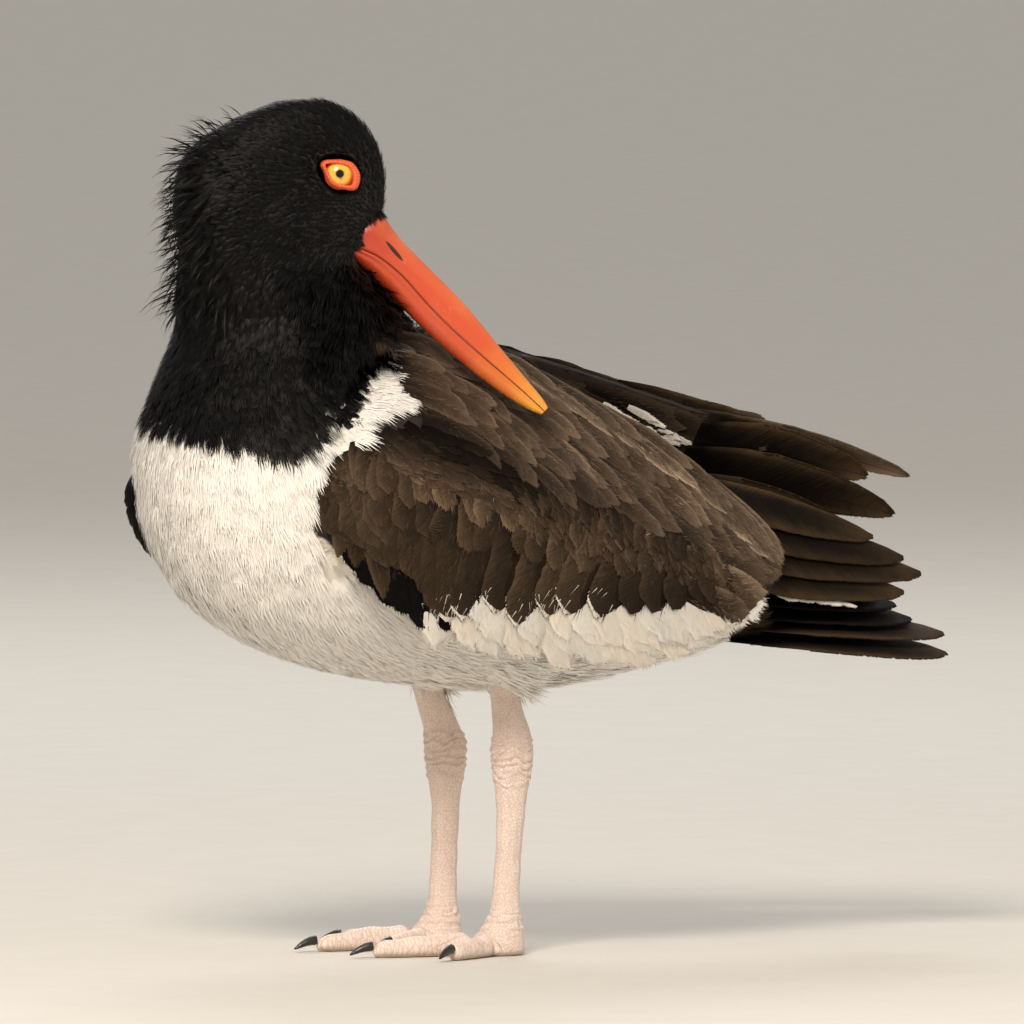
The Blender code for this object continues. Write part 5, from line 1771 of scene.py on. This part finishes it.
def buildPrimaries(material):
    for side, wing in primaries.items():
        store = newVanes()
        out, rise = wing["lean"]
        start, distance = wing["start"]
        count = len(wing["feathers"])
        for number, ((rootX, rootZ), (tipX, tipZ), width) in enumerate(wing["feathers"]):
            ends = []
            hidden = -30 / (tipX - rootX)  # the visual feather begins further in than the solid
            for share in (hidden, 1.0):
                along, height = rootX + (tipX - rootX) * share, rootZ + (tipZ - rootZ) * share
                reach = distance - wing["closing"] * (along - start) - wing["step"] * number - 0.35
                ends.append((along, wing["outward"] * (reach - rise * height) / out, height))
            faceNormal = (wing["closing"], wing["outward"] * out, rise)
            # the far wing's top blade takes the brown tertial tone: partly the feather's own brown, partly
            # painted sunlight along its upper edge
            tone = "tertial" if side == "right" and number < 1 else "primary"
            bladeVane(
                store, *ends, width, faceNormal, tone=tone, fringe=0.6, split=0.16, point=0.35, blunt=1.45,
                lean=0.25, camber=0.03, roll=0.0, shaft=0.5, open=0.3, tint=0.3, barbs=0.3, combed=0,
            )
            if side == "left" and number == count - 1:
                layHem(store, *ends, width, faceNormal)
        blades = finishVanes(f"primaries_{side}", store, material, bladeThickness)
        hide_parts(*[f"primary_{n + 1}_{side}" for n in range(count)])


def buildTail(material):
    store = newVanes()
    for side in (-1, 1):
        for rootHeight, length, tipOut, tipHeight, tone in tail["pairs"]:
            length = length - store["rng"].uniform(0, 2)
            root = (tail["root"], side * tail["rootOut"], rootHeight)
            tip = (tail["root"] + length, side * tipOut, tipHeight)
            bladeVane(
                store, root, tip, tail["width"], (0, side * tail["slope"], 1), tone=tone, fringe=0.9,
                split=0.1, blunt=1.7, sag=0.8, camber=0.0, roll=0.0, shaft=0.5, open=0.25, tint=0.25,
                barbs=0.3, combed=0,
            )
    blades = finishVanes("tail_feathers", store, material, bladeThickness)
    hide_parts(*[f"tail_{n}_{side}" for n in (1, 2, 3) for side in sides])


def layDark(store):  # the far wing's dark bend shows past the breast, the mantle's tufts behind the neck
    for feathers, inwards, facing, fringe, split in (
        (farBend, 2, (-1, -0.2, 0), 0.2, 0.6),
        (mantleTufts, 0, (-0.3, -0.85, 0.4), 0.3, 0.7),
    ):
        for (rootX, rootZ), (tipX, tipZ), out, width in feathers:
            bladeVane(
                store, (rootX, out, rootZ), (tipX, out - inwards, tipZ), width, facing, rows=9, tone="black",
                fringe=fringe, split=split, combed=0,
            )


def layRows(side, names, rng):
    store = newVanes()
    for name in names:
        layRow(store, side, wingFeathers[name], rng)
    return store


def buildWings(material):
    for side in sides:
        rng = np.random.default_rng(21 if side == "left" else 34)
        bar = layRows(side, ("secondaryUnder", "secondary"), rng)
        finishVanes(f"vanes_white_{side}", bar, material)
        flight = layRows(side, ("darkUnder", "greaterUnder", "greater", "tertials", "alula"), rng)
        finishVanes(f"vanes_long_{side}", flight, material)
        small = layRows(side, ("median1", "median2"), rng)
        layLesser(small, side, rng)
        layScapulars(small, side, rng)
        layRow(small, side, wingFeathers["plumes"], rng)
        if side == "right":
            layDark(small)
        finishVanes(f"vanes_short_{side}", small, material)
    inner = newVanes()
    layInnerFace(inner, np.random.default_rng(5))
    finishVanes("vanes_inner_right", inner, material)


# Legs and claws

legSizes = {
    "voxel": 0.42,  # cell of the grid that joins the solids of the legs
    "scale": 0.95,  # across one scale of the shank, in mm
    "scute": 2.1,  # along one plate of the toes, and across it
    "scuteWidth": 4.5,
    "fold": 0.5,  # depth of the wrinkles round the ankle, and the way from one to the next
    "foldSpacing": 2.9,
    "rounding": 50,
    "soleEdge": 2.8,  # height over which the rim of a sole is rounded
    "ankle": (55.0, 77.0),  # lowest and highest wrinkle
    "feet": ((2.0, -20.0), (-0.8, 20.0)),  # middle of the left and of the right foot
}

legParts = ("tibia", "ankle", "tarsus", "foot", "toe_inner", "toe_middle", "toe_outer")
legNodes = [f"{part}_{side}" for part in legParts for side in sides]
clawNodes = [f"claw_{toe}_{side}" for toe in ("inner", "middle", "outer") for side in sides]


def legMaterial():
    # Living scaly skin: pale pinkish, satin, darker between the scales, a painted shade in the grooves
    material, tree, shader = newMaterial(
        "scalyLegSkin", 0.48, Specular_IOR_Level=0.4, Subsurface_Weight=0.1,
        Subsurface_Radius=(1.0, 0.45, 0.3), Subsurface_Scale=0.0015,
    )
    coords = objectCoordinates(tree)
    cloudy = noiseNode(tree, coords, 60.0, 4.0)
    fine = noiseNode(tree, coords, 900.0, 3.0)
    scales = {"Vector": readAttribute(tree, "scalePlace", "Vector"), "Scale": 1.0, "Randomness": 0.85}
    cells = addNode(tree, "ShaderNodeTexVoronoi", {"feature": "DISTANCE_TO_EDGE"}, scales)
    raised = times(tree, cells.outputs["Distance"], 7.0, clamp=True)
    # painted shade in the grooves between the scales
    between = scaled(tree, raised, -0.42, 0.42, clamp=True)
    colour = mixColour(tree, cloudy, "#E6D0C1", "#F2E4D9")
    colour = mixColour(tree, between, colour, "#B08B78")
    colour = mixColour(tree, times(tree, fine, 0.2), colour, "#DDB7A2")
    # darker towards the ground, over the lowest 2.5 mm of the feet
    colour = mixColour(tree, readAttribute(tree, "nearGround"), colour, "#8A7466")
    tree.links.new(colour, shader.inputs["Base Color"])
    addBump(tree, shader, scaled(tree, fine, 0.3, raised), 0.00013, 0.8)
    return material


def clawMaterial():
    # Claw horn: near black, smooth and a little glossy
    material, tree, shader = newMaterial("darkClawHorn", 0.3, Coat_Weight=0.2)
    grain = noiseNode(tree, objectCoordinates(tree), 400.0, 3.0)
    tree.links.new(mixColour(tree, grain, "#15110F", "#2E2622"), shader.inputs["Base Color"])
    return material


def roundFeet(mesh):  # wears the edges of the feet down to a round form, with the soles kept flat
    edges = np.empty(len(mesh.edges) * 2, int)
    mesh.edges.foreach_get("vertices", edges)
    edges = edges.reshape(-1, 2)
    here, there = np.concatenate([edges, edges[:, ::-1]]).T
    places = toFeet(pointArray(mesh))
    count = len(places)
    around = np.maximum(np.bincount(here, minlength=count), 1)
    atFoot = smoothStep(16, 9, places[:, 2])[:, None]
    for _ in range(legSizes["rounding"]):
        sums = np.stack([np.bincount(here, places[there, k], count) for k in range(3)], 1)
        places = places + (sums / around[:, None] - places) * (0.6 * atFoot)
    places = places + normalArray(mesh) * (0.45 * smoothStep(16, 9, places[:, 2]))[:, None]
    level = np.clip(1 - places[:, 2] / legSizes["soleEdge"], 0, 1)
    inward = normalArray(mesh) * (legSizes["soleEdge"] * 0.55 * (1 - np.sqrt(1 - level**2)))[:, None]
    places[:, :2] -= inward[:, :2]
    places[:, 2] = np.maximum(places[:, 2] - 0.25 * smoothStep(6, 0, places[:, 2]), 0.03)
    setPoints(mesh, toMetres(places))


def legRelief(points):  # each point's place in the pattern of scales, and how far the skin is lifted there
    cells = np.empty((len(points), 3))
    lift = np.empty(len(points))
    low, high = legSizes["ankle"]
    width = legSizes["scuteWidth"]
    for number, point in enumerate(points):
        foot = legSizes["feet"][0 if point[1] < 0 else 1]
        x, y = point[0] - foot[0], point[1] - foot[1]
        reach = math.hypot(x, y)
        onFoot = float(smoothStep(13, 9, point[2])) * float(smoothStep(8, 12, reach))
        if onFoot > 0.5:
            cells[number] = reach / legSizes["scute"], math.atan2(y, x) * reach / width, point[2] / width
        else:
            cells[number] = Vector((point[0], point[1], point[2] * 0.85)) / legSizes["scale"]
        lumps = noise.noise(Vector(point) * 0.16) * 0.35
        swirl = noise.noise(Vector(point) * 0.2), noise.noise(Vector(point) * 0.45 + Vector((9, 2, 5)))
        wave = point[2] * 2 * math.pi / legSizes["foldSpacing"] + 5.0 * swirl[0] + 2.2 * swirl[1]
        fold = math.sin(wave) * (0.6 + 0.8 * swirl[1])
        atAnkle = float(smoothStep(low, low + 5, point[2]) * smoothStep(high, high - 5, point[2]))
        atFoot = smoothStep(17, 11, point[2]) * smoothStep(5, 9, point[2]) * smoothStep(13, 10, reach)
        fold *= legSizes["fold"] * (atAnkle + float(atFoot) * 0.9)
        lift[number] = lumps * float(smoothStep(2, 6, point[2])) + fold - 0.2
    return cells, lift


def buildLegs():
    legs = remeshed("leg_skin", legNodes, legSizes["voxel"], 0.5, 8)
    roundFeet(legs.data)
    points, normals = toFeet(pointArray(legs.data)), normalArray(legs.data)
    cells, lift = legRelief(points)
    moved = points + normals * lift[:, None]
    moved[:, 2] = np.where(points[:, 2] < 1.0, np.maximum(moved[:, 2], 0.03), moved[:, 2])
    setPoints(legs.data, toMetres(moved))
    setAttribute(legs.data, "scalePlace", cells, "FLOAT_VECTOR")
    setAttribute(legs.data, "nearGround", smoothStep(2.5, 0.2, moved[:, 2]) * 0.5)
    unwrapped(legs)
    paint(legs, legMaterial())
    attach(legs, "root")
    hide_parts(*legNodes)
    claws = remeshed("claws", clawNodes, 0.28, 0.1, 4)
    paint(claws, clawMaterial())
    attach(claws, "root")
    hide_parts(*clawNodes)
    print("legs", triangleCount(legs.data), "claws", triangleCount(claws.data), "triangles")


# The whole bird

makeCamera()
makeStudio()
plumage, shadedDown, vanes = plumageMaterial(), skinMaterial(), vaneMaterial()
body, lie = buildSkin()
paint(body, shadedDown)
print("skin", triangleCount(body.data), "triangles")
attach(body, "root")
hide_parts(*fleshNodes, *wingNodes)
buildBill(hornMaterial())
buildEyes()
print("bill and eyes")
buildCoat(body, lie, plumage)
buildFace(plumage, shadedDown)
buildWings(vanes)
buildPrimaries(vanes)
buildTail(vanes)
buildLegs()
